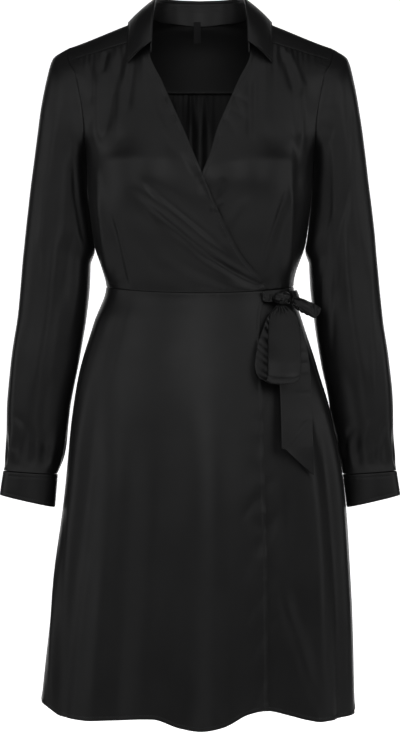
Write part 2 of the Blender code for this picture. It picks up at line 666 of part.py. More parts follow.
Crease = namedtuple("Crease", "angle0 down0 angle1 down1 width height")
SLEEVE_CREASES = [  # angle in degrees from the outside towards the front, and the share of the way down the sleeve
    Crease(70, 0.03, 60, 0.42, 11, 1.5),
    Crease(120, 0.05, 104, 0.60, 12, -1.8),
    Crease(150, 0.12, 128, 0.66, 11, 1.5),
    Crease(88, 0.30, 84, 0.80, 10, 1.3),
    Crease(28, 0.55, 48, 0.98, 12, 1.5),
    Crease(110, 0.70, 100, 1.00, 11, -1.7),
    Crease(250, 0.05, 262, 0.55, 13, -1.7),
    Crease(215, 0.06, 232, 0.70, 13, 1.6),
    Crease(300, 0.35, 290, 0.98, 12, 1.5),
    Crease(262, 0.60, 258, 1.00, 11, -1.6),
]
CREASE_START, CREASE_END = 0.25, 0.2  # the share of a crease's length over which each end dies away
GATHERS = 11  # small folds where the sleeve is let into the cuff
UNEVEN_GATHERS = 7  # a second, slower wave makes them differ
GATHER_HEIGHT = 1.4
GATHER_AT, GATHER_OVER, GATHER_END = 0.86, 0.08, 0.05  # shares of the way down the sleeve
ARMPIT_Z, ARMPIT_OVER = -120, 50  # below this the sleeve hangs beside the bodice
SHOULDER_ROWS = 0.92  # below 1, rows lie closer together towards the cuff
CLEAR_FROM = 0.06  # the share of the way down by which the sleeve is held clear of the side

SLEEVE_CLEAR = 2.1  # between the middles of the sleeve's cloth and the cloth beside it
side_z = [section.edge_z for section in SECTIONS[:13]]
side_x_at = through(side_z, [section.edge_x for section in SECTIONS[:13]])
side_sway_at = through(side_z, [section.sway for section in SECTIONS[:13]])


def beside(z, side):
    """The least distance from the centre line at which a sleeve clears the bodice and skirt."""
    return side_x_at(z) + side * side_sway_at(z) + SLEEVE_CLEAR


def at_least(value, least, softness=1.0):
    """A value held above a limit, with a soft bend where it meets it."""
    over = value - least
    return least + (over + np.sqrt(over**2 + softness**2)) / 2


def ring_at(rings, down):
    """Every column of a table of rings, at a share of the way from its first to its last."""
    outer = np.array([(r.out_x + r.in_x, r.out_z + r.in_z) for r in rings]) / 2
    length = np.concatenate([[0], np.cumsum(np.linalg.norm(np.diff(outer, axis=0), axis=1))])
    knots = length / length[-1]
    return {c: through(knots, [getattr(r, c) for r in rings])(down) for c in Ring._fields[1:]}


def armhole(angle, side):
    """The armhole seam by angle: 0 on top of the shoulder, 90 at the front, 180 under the arm, 270 at the back.
    Also the direction in which the bodice would go on beyond it."""
    loop, away = [], []
    for start, end in (("shoulder ridge", "bust"), ("back armpit", "shoulder ridge")):
        v = np.linspace(AT[start], AT[end], 100)
        w, even_v = along_edge(v, np.full_like(v, 1.0), 91)
        loop.append(body(w * side, even_v))
        away.append(np.cross(outward(w * side, even_v), unit(np.gradient(loop[-1], axis=0))) * side)
    loop = np.concatenate([loop[0], loop[1][1:]])
    away = np.concatenate([away[0], away[1][1:]])
    steps = np.linspace(0, 360, len(loop))
    return [np.stack([np.interp(angle, steps, c) for c in points.T], axis=-1) for points in (loop, unit(away))]


def crease_height(angle, down):
    """Height of the sleeve's creases. Angle and share down may be grids."""
    total = 0
    for c in SLEEVE_CREASES:
        share = (down - c.down0) / (c.down1 - c.down0)
        middle = c.angle0 + (c.angle1 - c.angle0) * share
        ends = smoothstep(share / CREASE_START) * smoothstep((1 - share) / CREASE_END)
        total = total + c.height * np.exp(-(((angle - middle) / c.width) ** 2)) * ends
    turn = np.radians(angle)
    waves = np.cos(turn * GATHERS) + 0.5 * np.cos(turn * UNEVEN_GATHERS + 1)
    ends = smoothstep((down - GATHER_AT) / GATHER_OVER) * smoothstep((1 - down) / GATHER_END)
    return total + GATHER_HEIGHT * waves * ends


def ring_points(angle, at, side):
    """Points of elliptical rings, tilted from their outermost to their innermost point."""
    turn = np.radians(angle)
    in_x = at_least(at["in_x"], beside(at["in_z"], side))
    mid_x, mid_z = (at["out_x"] + in_x) / 2, (at["out_z"] + at["in_z"]) / 2
    half_x, half_z = (at["out_x"] - in_x) / 2, (at["out_z"] - at["in_z"]) / 2
    x = mid_x + half_x * np.cos(turn)
    z = mid_z + half_z * np.cos(turn)
    y = at["mid_y"] - at["depth"] * np.sin(turn)
    return np.stack([x * side, y, z], axis=-1)


def grid_normals(points, closed):
    """Unit normals of a grid of points, from its neighbours along and across."""
    if closed:
        wide = np.concatenate([points[:, -1:], points, points[:, :1]], axis=1)
        across = (wide[:, 2:] - wide[:, :-2]) / 2
    else:
        across = np.gradient(points, axis=1)
    return unit(np.cross(across, np.gradient(points, axis=0)))


def clear_of_seam(edge, away, ahead):
    """A seam's edge moved clear of the next panel's. Both walls are cloth thick, so a sharper turn needs more."""
    turn = np.sqrt(np.clip((1 - (away * ahead).sum(axis=-1, keepdims=True)) / 2, 0, 1))
    return edge + unit(away + ahead) * (SLEEVE_SEAM_GAP + CLOTH * turn)


def sleeve_points(side, rows, columns):
    down = np.linspace(0, 1, rows) ** SHOULDER_ROWS
    angle = np.arange(columns) * 360 / columns
    down_grid, angle_grid = np.meshgrid(down, angle, indexing="ij")
    at = ring_at(SLEEVE, down_grid)
    points = ring_points(angle_grid, at, side)
    seam, away = armhole(angle, side)
    start = clear_of_seam(seam, away, unit(points[2] - seam))
    below_arm = smoothstep((ARMPIT_Z - seam[:, 2]) / ARMPIT_OVER)
    start[:, 0] += (side * beside(seam[:, 2], 0) - start[:, 0]) * below_arm
    points = points + (start - points[0]) * (1 - at["blend"])[..., None]
    normals = grid_normals(points, closed=True) * side
    points = points + normals * crease_height(angle_grid, down_grid)[..., None]
    clear = side * at_least(side * points[..., 0], beside(points[..., 2], side))
    points[..., 0] += (clear - points[..., 0]) * smoothstep(down_grid / CLEAR_FROM)
    return points


def cuff_points(side, rows, columns):
    down = np.linspace(0, 1, rows)
    turn = np.linspace(0, 360 + CUFF_LAP, columns)
    down_grid, turn_grid = np.meshgrid(down, turn, indexing="ij")
    at = ring_at(CUFF, down_grid)
    points = ring_points(turn_grid + CUFF_LAP_AT - CUFF_LAP, at, side)
    middle = points.mean(axis=1, keepdims=True)
    lift = CUFF_LAP_LIFT * smoothstep((turn_grid - 360) / CUFF_LAP_OVER + 1)
    points = points + unit((points - middle) * (1, 1, 0)) * lift[..., None]
    points[..., 0] = side * at_least(side * points[..., 0], beside(points[..., 2], side) + DOUBLE_CLOTH - CLOTH)
    return points


def make_button(name, side, collection):
    """A round flat button with a raised rim: a profile turned about its own Z, then placed on the cuff's lap."""
    inner = BUTTON_RADIUS - RIM_WIDTH
    profile = [(0, BUTTON_FACE), (inner - RIM_SLOPE, BUTTON_FACE), (inner, BUTTON_RIM)]
    profile += [(BUTTON_RADIUS - RIM_SLOPE, BUTTON_RIM), (BUTTON_RADIUS, BUTTON_FACE), (BUTTON_RADIUS, BACK_EDGE)]
    profile += [(BUTTON_RADIUS - BACK_EDGE, 0), (0, 0)]
    mesh = bpy.data.meshes.new(name)
    points = [(radius * METRE, 0, height * METRE) for radius, height in profile]
    mesh.from_pydata(points, [(i, i + 1) for i in range(len(points) - 1)], [])
    made = new_object(name, mesh, BUTTON_BLACK, collection)
    screw = made.modifiers.new("turn", "SCREW")
    screw.steps = screw.render_steps = BUTTON_SIDES
    screw.use_merge_vertices = True
    screw.merge_threshold = 1e-5
    cloth = cuff_points(side, 3, CUFF_LAP + 361)  # a column for each degree
    spot = CUFF_LAP + 360 - BUTTON_IN
    down = cloth[2, spot] - cloth[0, spot]
    out = unit(np.cross(cloth[1, spot + 2] - cloth[1, spot - 2], down))
    if (cloth[1, spot] - cloth[1].mean(axis=0)) @ out < 0:
        out = -out
    made.location = (cloth[1, spot] + out * (DOUBLE_CLOTH / 2 + BUTTON_CLEAR)) * METRE
    made.rotation_euler = mathutils.Vector(out).to_track_quat("Z", "Y").to_euler()


def make_sleeves(collection):
    for name, side in (("left", 1), ("right", -1)):
        wall("sleeve_" + name, sleeve_points(side, 18, 20), collection, closed=True)
        wall("cuff_" + name, cuff_points(side, 3, 24), collection, DOUBLE_CLOTH)
        make_button("cuff_button_" + name, side, collection)


# ---------------------------------------------------------------------------------------------------------------
# The tie, bound into a bow at the left side of the waist

Band = namedtuple("Band", "x off z wide_x wide_y wide_z cup")
# Each row is the middle of the band, half its width as a direction, and how far its middle bulges.
# off is how far the middle lies in front of the skirt. Beyond the side seam it is measured from the seam.
TIE_FRONT = [  # sewn to the edge of the right-hand front
    Band(85, 8.5, -394, 0, 0, 6.5, 0.0),
    Band(91, 10.0, -396, 0, 0, 6.0, 1.0),
    Band(98, 13.0, -397, 0, 0, 5.0, 1.5),
]
TIE_SIDE = [  # sewn into the left side seam
    Band(137, 6, -391, -3.0, 0, 8.0, 0.0),
    Band(136, 29, -392, -2.5, 0, 8.0, 0.5),
    Band(130.5, 42, -393, -2.0, 0, 7.0, 1.0),
    Band(125, 33, -393, -1.0, 0, 6.0, 1.5),
]
LOOP_FRONT = [
    Band(110, 26, -408, 6, 0, 0, 1.0),
    Band(112, 31, -415, 14, 0, 0, 3.0),
    Band(113, 35, -432, 20, 0, 0, 3.0),
    Band(113.5, 39, -460, 22, 1, 0, 3.0),
    Band(113, 40, -490, 22, 2, 0, 3.0),
    Band(112, 36, -507, 21, 2, 0, 2.0),
    Band(107.5, 28.5, -513, 21, 2, 0, 1.0),
    Band(100.5, 21.5, -506, 22, 2, 0, 0.0),
    Band(95, 19, -486, 21, 3, 0, -0.5),
    Band(97, 18.5, -462, 19, 3, 0, -0.5),
    Band(101, 17.5, -440, 16, 3, 0, -0.5),
    Band(105, 16.5, -421, 12, 2, 0, -0.5),
    Band(108, 16, -411, 5, 1, 0, 0.0),
]
LOOP_SIDE = [
    Band(127, 57, -399, 1, 1, 4, 1.0),
    Band(133, 69, -402, 2.5, 1.5, 6, 2.0),
    Band(141, 80, -407, 4, 2, 7.5, 2.5),
    Band(150, 77, -412, 4, 2, 8, 2.5),
    Band(158, 73, -417, 4, 2, 7.5, 1.5),
    Band(161.5, 67.5, -419, 3.5, 2, 7, 1.0),
    Band(158, 62.5, -417.5, 4, 2, 7, 0.5),
    Band(150, 61, -413, 4, 2, 7, -0.5),
    Band(141, 62, -408.5, 3.5, 1.5, 6.5, -0.5),
    Band(133, 53, -405, 2.5, 1, 5, 0.0),
    Band(128, 52, -403, 1, 0.5, 3.5, 0.0),
]
TAIL_OUTER = [
    Band(114, 14, -413, 5, 2, 0, 0.5),
    Band(120, 13.5, -428, 13, 6, 0, 1.5),
    Band(126, 14, -460, 19, 9, 0, 2.0),
    Band(129.5, 14, -510, 20, 10, 0, 1.5),
    Band(131, 14, -560, 20, 10, 0, 1.0),
    Band(132, 14, -596, 20, 10, 0, 1.0),
    Band(132.5, 14, -617, 20, 10, -20, 1.0),
]
TAIL_INNER = [
    Band(115, 9.2, -415, 4, 2, 0, 0.0),
    Band(122, 8.9, -430, 11, 5, 0, 0.5),
    Band(128, 8.8, -465, 15, 7, 0, 1.0),
    Band(131, 8.5, -515, 15, 7.5, 0, 1.0),
    Band(132, 8.5, -556, 15, 7.5, 0, 0.5),
    Band(132.5, 7.0, -574, 15, 7.5, 8, 0.5),
]
KNOT_MIDDLE = (112, 20, -397)  # x, off and z
KNOT_HALF = (12, 9.5, 10)
KNOT_TURN = 30  # degrees, so that the knot faces out from the side front
Groove = namedtuple("Groove", "along_x along_z at width depth")  # in shares of the knot's half size
KNOT_GROOVES = [Groove(1, -0.35, 0, 0.16, 0.10), Groove(0, 1, -0.4, 0.15, 0.07)]


def in_front(x, off, z):
    """The y of a point that lies off in front of the skirt at x and z."""
    x, z = np.broadcast_arrays(np.asarray(x, float), np.asarray(z, float))
    v = np.full(x.shape, AT["front high hip"])
    for _ in range(8):
        w = cut(v, lambda y, height: x, 0.0, 1.0)
        low, high = np.zeros(x.shape), np.full(x.shape, AT["front waist"])
        for _ in range(20):
            middle = (low + high) / 2
            above = body(w, middle)[..., 2] > z
            low, high = np.where(above, low, middle), np.where(above, middle, high)
        v = (low + high) / 2
    rise = skirt_relief(w, v) / np.maximum(-outward(w, v)[..., 1], 0.4)
    return body(w, v)[..., 1] - rise - off


def band_points(rows, count, columns):
    """A strip of cloth along the rows of a table, with its middle bulging."""
    middles = np.array([(b.x, in_front(b.x, b.off, b.z), b.z) for b in rows], float)
    wides = np.array([(b.wide_x, b.wide_y, b.wide_z) for b in rows], float)
    length = np.concatenate([[0], np.cumsum(np.linalg.norm(np.diff(middles, axis=0), axis=1))])
    along = np.linspace(0, length[-1], count)
    middle = np.stack([through(length, c)(along) for c in middles.T], axis=-1)
    wide = np.stack([through(length, c)(along) for c in wides.T], axis=-1)
    cup = through(length, [b.cup for b in rows])(along)
    out = unit(np.cross(wide, np.gradient(middle, axis=0)))
    across = np.linspace(-1, 1, columns)[None, :]
    bulge = (cup[:, None] * (1 - across**2))[..., None]
    return middle[:, None, :] + wide[:, None, :] * across[..., None] + out[:, None, :] * bulge


def make_knot(collection):
    """A soft rounded knot: a ball drawn to an oblong, with two shallow grooves where the bands cross."""
    bm = bmesh.new()
    bmesh.ops.create_uvsphere(bm, u_segments=16, v_segments=10, radius=1)
    turn = math.radians(KNOT_TURN)
    middle = (KNOT_MIDDLE[0], float(in_front(*KNOT_MIDDLE)), KNOT_MIDDLE[2])
    for vert in bm.verts:
        x, y, z = vert.co
        deep = sum(
            g.depth * math.exp(-(((x * g.along_x + z * g.along_z - g.at) / g.width) ** 2)) for g in KNOT_GROOVES
        )
        square = (abs(x) ** 3 + abs(y) ** 3 + abs(z) ** 3) ** (-1 / 3)
        x, y, z = (c * h * square * (1 - deep) for c, h in zip((x, y, z), KNOT_HALF))
        turned = (x * math.cos(turn) - y * math.sin(turn), x * math.sin(turn) + y * math.cos(turn), z)
        vert.co = [(m + t) * METRE for m, t in zip(middle, turned)]
    from_bmesh("bow_knot", bm, collection)


def make_tie(collection):
    for name, rows, count, columns in (
        ("tie_front", TIE_FRONT, 4, 4),
        ("tie_side", TIE_SIDE, 5, 4),
        ("bow_loop_front", LOOP_FRONT, 22, 5),
        ("bow_loop_side", LOOP_SIDE, 20, 5),
        ("tie_end_outer", TAIL_OUTER, 11, 5),
        ("tie_end_inner", TAIL_INNER, 9, 5),
    ):
        wall(name, band_points(rows, count, columns), collection, DOUBLE_CLOTH)
    make_knot(collection)


def main():
    for obj in list(bpy.data.objects):
        bpy.data.objects.remove(obj)
    collection = bpy.data.collections.new("wrap_dress")
    bpy.context.scene.collection.children.link(collection)
    make_bodice(collection)
    make_yoke(collection)
    make_collar(collection)
    make_label(collection)
    make_sleeves(collection)
    make_skirt(collection)
    make_tie(collection)


main()
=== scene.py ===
# %% [markdown]
# # A wrap dress in black satin
#
# The dress is shown filled out, as if worn, and it is hollow: neck, cuffs and hem are open. It is cut from some
# twenty pieces. Each one becomes a thin shell here, made from a grid of points that follows the figure the dress is
# cut for, with the folds put in as soft ridges and troughs. A cloth simulation could drape it too, but it
# would lose the places of the seams, so the folds are placed from tables instead. Sizes are in millimetres until a
# mesh is made. +Z is up, the front faces -Y, and the wearer's left is +X.

# %% Load the frame
import math
from collections import namedtuple

import bmesh
import bpy
import mathutils
import numpy as np
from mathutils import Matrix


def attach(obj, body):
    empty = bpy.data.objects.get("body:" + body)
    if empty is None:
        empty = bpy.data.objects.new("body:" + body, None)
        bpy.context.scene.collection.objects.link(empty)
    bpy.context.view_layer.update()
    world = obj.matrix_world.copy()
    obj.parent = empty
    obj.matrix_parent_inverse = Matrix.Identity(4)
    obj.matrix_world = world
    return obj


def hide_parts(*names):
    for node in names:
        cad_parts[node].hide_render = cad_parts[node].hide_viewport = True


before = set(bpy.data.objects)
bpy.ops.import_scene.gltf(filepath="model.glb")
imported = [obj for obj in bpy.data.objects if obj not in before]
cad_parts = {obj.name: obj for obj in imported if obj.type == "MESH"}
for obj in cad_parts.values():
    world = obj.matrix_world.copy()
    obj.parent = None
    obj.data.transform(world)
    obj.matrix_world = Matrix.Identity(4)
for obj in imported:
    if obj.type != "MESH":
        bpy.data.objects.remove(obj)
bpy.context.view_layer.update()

METRE = 0.001


def linked(name, data):
    """A new object in the scene."""
    made = bpy.data.objects.new(name, data)
    bpy.context.scene.collection.objects.link(made)
    return made


# %% [markdown]
# ## The camera, the room and the light
#
# The camera stands 3 m in front of the dress at the height of its middle, so the perspective is gentle. A pale
# floor and a white wall behind it are both plain. Three more white walls close the room for whoever walks round the
# dress, and give it no light. Black satin shows its folds only by what it mirrors, so the light comes from large
# soft boxes: two at the front left and front right, one above the camera and a weak one below it, one at each side,
# and a broad one overhead. Each part of the dress mirrors a different one of them.

# %% Camera
CAMERA_Z, CAMERA_DISTANCE, VIEW_ANGLE = -490, 3000, 19.4

camera = bpy.data.cameras.new("camera")
camera.sensor_fit = "VERTICAL"
camera.angle = math.radians(VIEW_ANGLE)
camera_object = linked("camera", camera)
camera_object.location = (0, -CAMERA_DISTANCE * METRE, CAMERA_Z * METRE)
camera_object.rotation_euler = (math.radians(90), 0, 0)
bpy.context.scene.camera = camera_object
bpy.context.scene.view_settings.view_transform = "Standard"
bpy.context.scene.view_settings.look = "None"
print("camera at", tuple(round(c, 2) for c in camera_object.location), "view", VIEW_ANGLE, "degrees")

# %% Floor, wall and lights
FLOOR_Z, ROOM_HALF, WALL_HALF, WALL_TOP, WORLD_GLOW = -1950, 5200, 3390, 3330, 0.02
Light = namedtuple("Light", "name x y z wide high power")
LIGHTS = [
    Light("soft_box_left", -1500, -1700, 550, 1200, 1700, 5.8),
    Light("soft_box_right", 1500, -1700, 550, 1200, 1700, 5.8),
    Light("soft_box_front", 0, -2500, 600, 900, 1500, 6.6),
    Light("soft_box_low", 0, -2500, -1050, 900, 500, 1.0),
    Light("soft_box_side_left", -2200, -300, 0, 1200, 1800, 4.7),
    Light("soft_box_side_right", 2200, -300, 0, 1200, 1800, 4.7),
    Light("soft_box_above", 0, -900, 1600, 2000, 1600, 4.6),
]


def studio_material(name, colour, glow):
    made = bpy.data.materials.new(name)
    made.use_nodes = True
    shader = made.node_tree.nodes["Principled BSDF"]
    shader.inputs["Base Color"].default_value = (*colour, 1)
    shader.inputs["Roughness"].default_value = 0.9
    shader.inputs["Specular IOR Level"].default_value = 0.1
    shader.inputs["Emission Color"].default_value = (1, 1, 1, 1)
    shader.inputs["Emission Strength"].default_value = glow
    return made


def stage_piece(name, corners, material):
    mesh = bpy.data.meshes.new(name)
    mesh.from_pydata([tuple(c * METRE for c in corner) for corner in corners], [], [(0, 1, 2, 3)])
    mesh.materials.append(material)
    made = linked(name, mesh)
    return made


pale = studio_material("pale_floor", (0.82, 0.82, 0.82), 0.3)
white = studio_material("white_wall", (0.9, 0.9, 0.9), 1.0)
stage_piece("floor", [(-ROOM_HALF, -ROOM_HALF, FLOOR_Z), (ROOM_HALF, -ROOM_HALF, FLOOR_Z),
                      (ROOM_HALF, ROOM_HALF, FLOOR_Z), (-ROOM_HALF, ROOM_HALF, FLOOR_Z)], pale)
stage_piece("wall", [(-WALL_HALF, ROOM_HALF, FLOOR_Z), (WALL_HALF, ROOM_HALF, FLOOR_Z),
                     (WALL_HALF, ROOM_HALF, WALL_TOP), (-WALL_HALF, ROOM_HALF, WALL_TOP)], white)
corners = [(-ROOM_HALF, ROOM_HALF), (-ROOM_HALF, -ROOM_HALF), (ROOM_HALF, -ROOM_HALF), (ROOM_HALF, ROOM_HALF)]
for number, (one, other) in enumerate(zip(corners, corners[1:]), 1):
    plain = stage_piece(f"plain_wall_{number}", [(*one, FLOOR_Z), (*other, FLOOR_Z), (*other, WALL_TOP),
                                                 (*one, WALL_TOP)], white)
    plain.visible_diffuse = plain.visible_glossy = plain.visible_transmission = plain.visible_shadow = False
for light in LIGHTS:
    data = bpy.data.lights.new(light.name, "AREA")
    data.shape, data.size, data.size_y, data.energy = "RECTANGLE", light.wide * METRE, light.high * METRE, light.power
    lamp = linked(light.name, data)
    lamp.location = (light.x * METRE, light.y * METRE, light.z * METRE)
    aim = mathutils.Vector((0, 0, CAMERA_Z * METRE)) - lamp.location
    lamp.rotation_euler = aim.to_track_quat("-Z", "Y").to_euler()
world = bpy.data.worlds.new("room")
world.use_nodes = True
background = world.node_tree.nodes["Background"]
background.inputs["Color"].default_value, background.inputs["Strength"].default_value = (1, 1, 1, 1), WORLD_GLOW
bpy.context.scene.world = world
print("lights:", [light.name for light in LIGHTS])

# %% [markdown]
# ## The figure that the dress is cut for
#
# A tailor thinks of the body as girths at known heights. The table below is that: one row for each section, from the
# front hem up over the shoulder and down to the back hem. A smooth curve goes through each column. On this surface w
# runs across, from -1 at the right side seam to 1 at the left one, and v runs over the dress in millimetres.

# %% The table of sections
Section = namedtuple("Section", "name mid_y mid_z edge_x edge_y edge_z sway mid_reach edge_reach edge_turn")
SECTIONS = [
    Section("front hem", -172, -950, 216, -18, -950, -1.5, 0.62, 1.00, 0.68),
    Section("front knee", -157, -800, 206, -20, -800, 3.5, 0.62, 1.00, 0.68),
    Section("front thigh", -142, -660, 193.5, -20, -660, 6.6, 0.62, 1.00, 0.68),
    Section("front seat", -128, -560, 180, -20, -560, 3.0, 0.62, 1.00, 0.68),
    Section("front hip", -114, -490, 164, -14, -490, -1.6, 0.62, 1.00, 0.69),
    Section("front high hip", -100, -430, 145.7, -5, -430, -2.3, 0.61, 1.00, 0.70),
    Section("front waist", -92, -390, 130.5, 0, -378, 0, 0.60, 1.00, 0.70),
    Section("front ribs", -106, -315, 148, 0, -315, 0, 0.61, 1.00, 0.71),
    Section("bust", -118, -240, 157, 0, -232, 0, 0.62, 1.00, 0.71),
    Section("chest", -100, -170, 159, -57, -165, 0, 0.50, 0.86, 0.61),
    Section("upper chest", -72, -92, 171, -47, -90, 0, 0.42, 0.75, 0.45),
    Section("front yoke seam", -38, -25, 183, -25, -65, 0, 0.36, 0.68, 0.50),
    Section("shoulder ridge", 5, 11, 186, 2, -45.5, 0, 0.36, 0.68, 0.50),
    Section("back neck", 66, 1, 185.5, 13, -49, 0, 0.36, 0.68, 0.50),
    Section("upper back", 93, -40, 182, 27, -63, 0, 0.40, 0.72, 0.50),
    Section("back yoke seam", 106, -95, 171, 50, -98, 0, 0.45, 0.80, 0.55),
    Section("back arm", 113, -165, 159, 58, -165, 0, 0.50, 0.88, 0.55),
    Section("back armpit", 110, -236, 157, 0, -232, 0, 0.60, 1.00, 0.58),
    Section("back ribs", 97, -315, 148, 0, -315, 0, 0.60, 1.00, 0.60),
    Section("back waist", 82, -386, 130.5, 0, -378, 0, 0.60, 1.00, 0.60),
    Section("back high hip", 100, -430, 145.7, -5, -430, -2.3, 0.60, 1.00, 0.60),
    Section("back hip", 124, -490, 164, -14, -490, -1.6, 0.60, 1.00, 0.58),
    Section("back seat", 138, -560, 180, -20, -560, 3.0, 0.60, 1.00, 0.56),
    Section("back thigh", 146, -660, 193.5, -20, -660, 6.6, 0.60, 1.00, 0.56),
    Section("back knee", 154, -800, 206, -20, -800, 3.5, 0.60, 1.00, 0.56),
    Section("back hem", 166, -950, 216, -18, -950, -1.5, 0.60, 1.00, 0.56),
]
print(len(SECTIONS), "sections, from", SECTIONS[0].name, "to", SECTIONS[-1].name)


# %% Smooth curves through a table
def smoothstep(share):
    share = np.clip(share, 0, 1)
    return share * share * (3 - 2 * share)


def bell(away):
    """1 at the middle, 0.37 where away is 1, and soon nothing."""
    return np.exp(-(away**2))


def through(knots, values):
    """A smooth curve through the rows of a table that never swings past them: monotone cubic interpolation."""
    knots, values = np.asarray(knots, float), np.asarray(values, float)
    step = np.diff(knots)
    rise = np.diff(values) / step
    slope = np.concatenate([[rise[0]], np.zeros(len(rise) - 1), [rise[-1]]])
    for i in range(1, len(rise)):
        if rise[i - 1] * rise[i] > 0:
            before, after = 2 * step[i] + step[i - 1], step[i] + 2 * step[i - 1]
            slope[i] = (before + after) / (before / rise[i - 1] + after / rise[i])

    def at(t):
        t = np.clip(t, knots[0], knots[-1])
        i = np.clip(np.searchsorted(knots, t, side="right") - 1, 0, len(step) - 1)
        s = (t - knots[i]) / step[i]
        start = values[i] * (1 + 2 * s) + slope[i] * step[i] * s
        end = values[i + 1] * (3 - 2 * s) - slope[i + 1] * step[i] * (1 - s)
        return start * (1 - s) ** 2 + end * s**2

    return at


def rows_of(kind, rows):
    """A table: rows of numbers under the named columns of their kind."""
    return [kind(*row) for row in rows]


def columns_of(table, knot):
    """A smooth curve for each column of numbers in a table, over the column that knot names."""
    knots = [getattr(row, knot) for row in table]
    names = [name for name in table[0]._fields if name not in ("name", knot)]
    return {name: through(knots, [getattr(row, name) for row in table]) for name in names}


def lengths(points):
    """How far along a line of points each one lies."""
    return np.concatenate([[0], np.cumsum(np.linalg.norm(np.diff(points, axis=0), axis=1))])


half_way = np.array([(0.55 * s.edge_x, (2 * s.mid_y + s.edge_y) / 3, (s.mid_z + s.edge_z) / 2) for s in SECTIONS])
PLACES = lengths(half_way)
AT = {section.name: place for section, place in zip(SECTIONS, PLACES)}
BODY = {c: through(PLACES, [getattr(s, c) for s in SECTIONS]) for c in Section._fields if c != "name"}
WAIST_Z, HEM_Z = -390, -950
print("the surface runs over", round(PLACES[-1]), "mm")


# %% The surface and its outward direction
def body(w, v):
    u = np.abs(w)
    near, first, second, far = (1 - u) ** 3, 3 * u * (1 - u) ** 2, 3 * u**2 * (1 - u), u**3
    c = {column: curve(v) for column, curve in BODY.items()}
    out = first * c["mid_reach"] + second * c["edge_reach"] + far
    x = c["sway"] + np.sign(w) * c["edge_x"] * out
    turn_y = c["edge_y"] + c["edge_turn"] * (c["mid_y"] - c["edge_y"])
    y = (near + first) * c["mid_y"] + second * turn_y + far * c["edge_y"]
    turn_z = c["edge_z"] + (c["mid_z"] - c["edge_z"]) / 3
    z = (near + first) * c["mid_z"] + second * turn_z + far * c["edge_z"]
    return np.stack([x, y, z], axis=-1)


def unit(vectors):
    return vectors / np.maximum(np.linalg.norm(vectors, axis=-1, keepdims=True), 1e-9)


def outward(w, v):
    return unit(np.cross(body(w + 1e-3, v) - body(w - 1e-3, v), body(w, v + 0.5) - body(w, v - 0.5)))


def cut(v, edge_x, low=-1.0, high=1.0):
    """The w on each row where the surface crosses an edge. edge_x gives the edge's x from a point's y and z."""
    low, high = np.full_like(v, low, dtype=float), np.full_like(v, high, dtype=float)
    for _ in range(30):
        middle = (low + high) / 2
        p = body(middle, v)
        beyond = p[..., 0] > edge_x(p[..., 1], p[..., 2])
        high, low = np.where(beyond, middle, high), np.where(beyond, low, middle)
    return (low + high) / 2


def is_front(v):
    return v < AT["shoulder ridge"]


print("the side seams are", 2 * round(float(BODY["edge_x"](AT["front waist"]))), "mm apart at the waist")

# %% [markdown]
# ## Where the panels end
#
# The right front wraps over the left one. Its edge climbs the skirt, crosses the waist at the bow, and runs in one
# soft diagonal over the bust to the collar. The left front is cut as its mirror and goes on underneath.

# %% The wrap edge and the neckline
NECK_HALF_WIDTH, NECK_SIDE_Y, NECK_BACK_Y, COLLAR_END_Z, UNDERLAP_X = 69, 8, 73, -58, -60
EdgePoint = namedtuple("EdgePoint", "z x")
WRAP_EDGE = rows_of(EdgePoint, [
    (-980, 90), (-760, 89), (-620, 85), (-500, 83), (-430, 81), (-386, 87), (-334, 52.5), (-280, 25), (-232, 3),
    (-161, -26), (-100, -52), (COLLAR_END_Z, -NECK_HALF_WIDTH), (20, -NECK_HALF_WIDTH),
])
wrap_edge_at = columns_of(WRAP_EDGE, "z")["x"]
UNDER_SHIFT, UNDER_SHIFT_Z, UNDER_SHIFT_OVER = 5, -160, 50


def neck_edge(y, z):
    share = np.clip((y - NECK_SIDE_Y) / (NECK_BACK_Y - NECK_SIDE_Y), 0, 1)
    return NECK_HALF_WIDTH * np.sqrt(1 - share**2)


def wrap_side(v):
    return cut(v, lambda y, z: wrap_edge_at(z))


def mirror_wrap_side(v):
    return cut(v, lambda y, z: -wrap_edge_at(z) + UNDER_SHIFT * smoothstep((UNDER_SHIFT_Z - z) / UNDER_SHIFT_OVER))


def underlap_side(v):
    return cut(v, lambda y, z: np.full_like(z, UNDERLAP_X))


SEAM_HALF = 0.5  # from a seam's line to the middle of the cloth on each side of it


def right_side(v):
    return -1 + SEAM_HALF / BODY["edge_x"](v)


def left_side(v):
    return 1 - SEAM_HALF / BODY["edge_x"](v)


print("the wrap edge meets the waist at x =", float(wrap_edge_at(-386)))

# %% [markdown]
# ## Folds
#
# Each fold is a soft ridge or trough along an arc: where it starts and ends, how far it bows, how wide and how high
# it is. The large ones give the dress its shape. The small ones come after them: gathers let in under the yoke, drag
# lines towards the bow, and the darts.

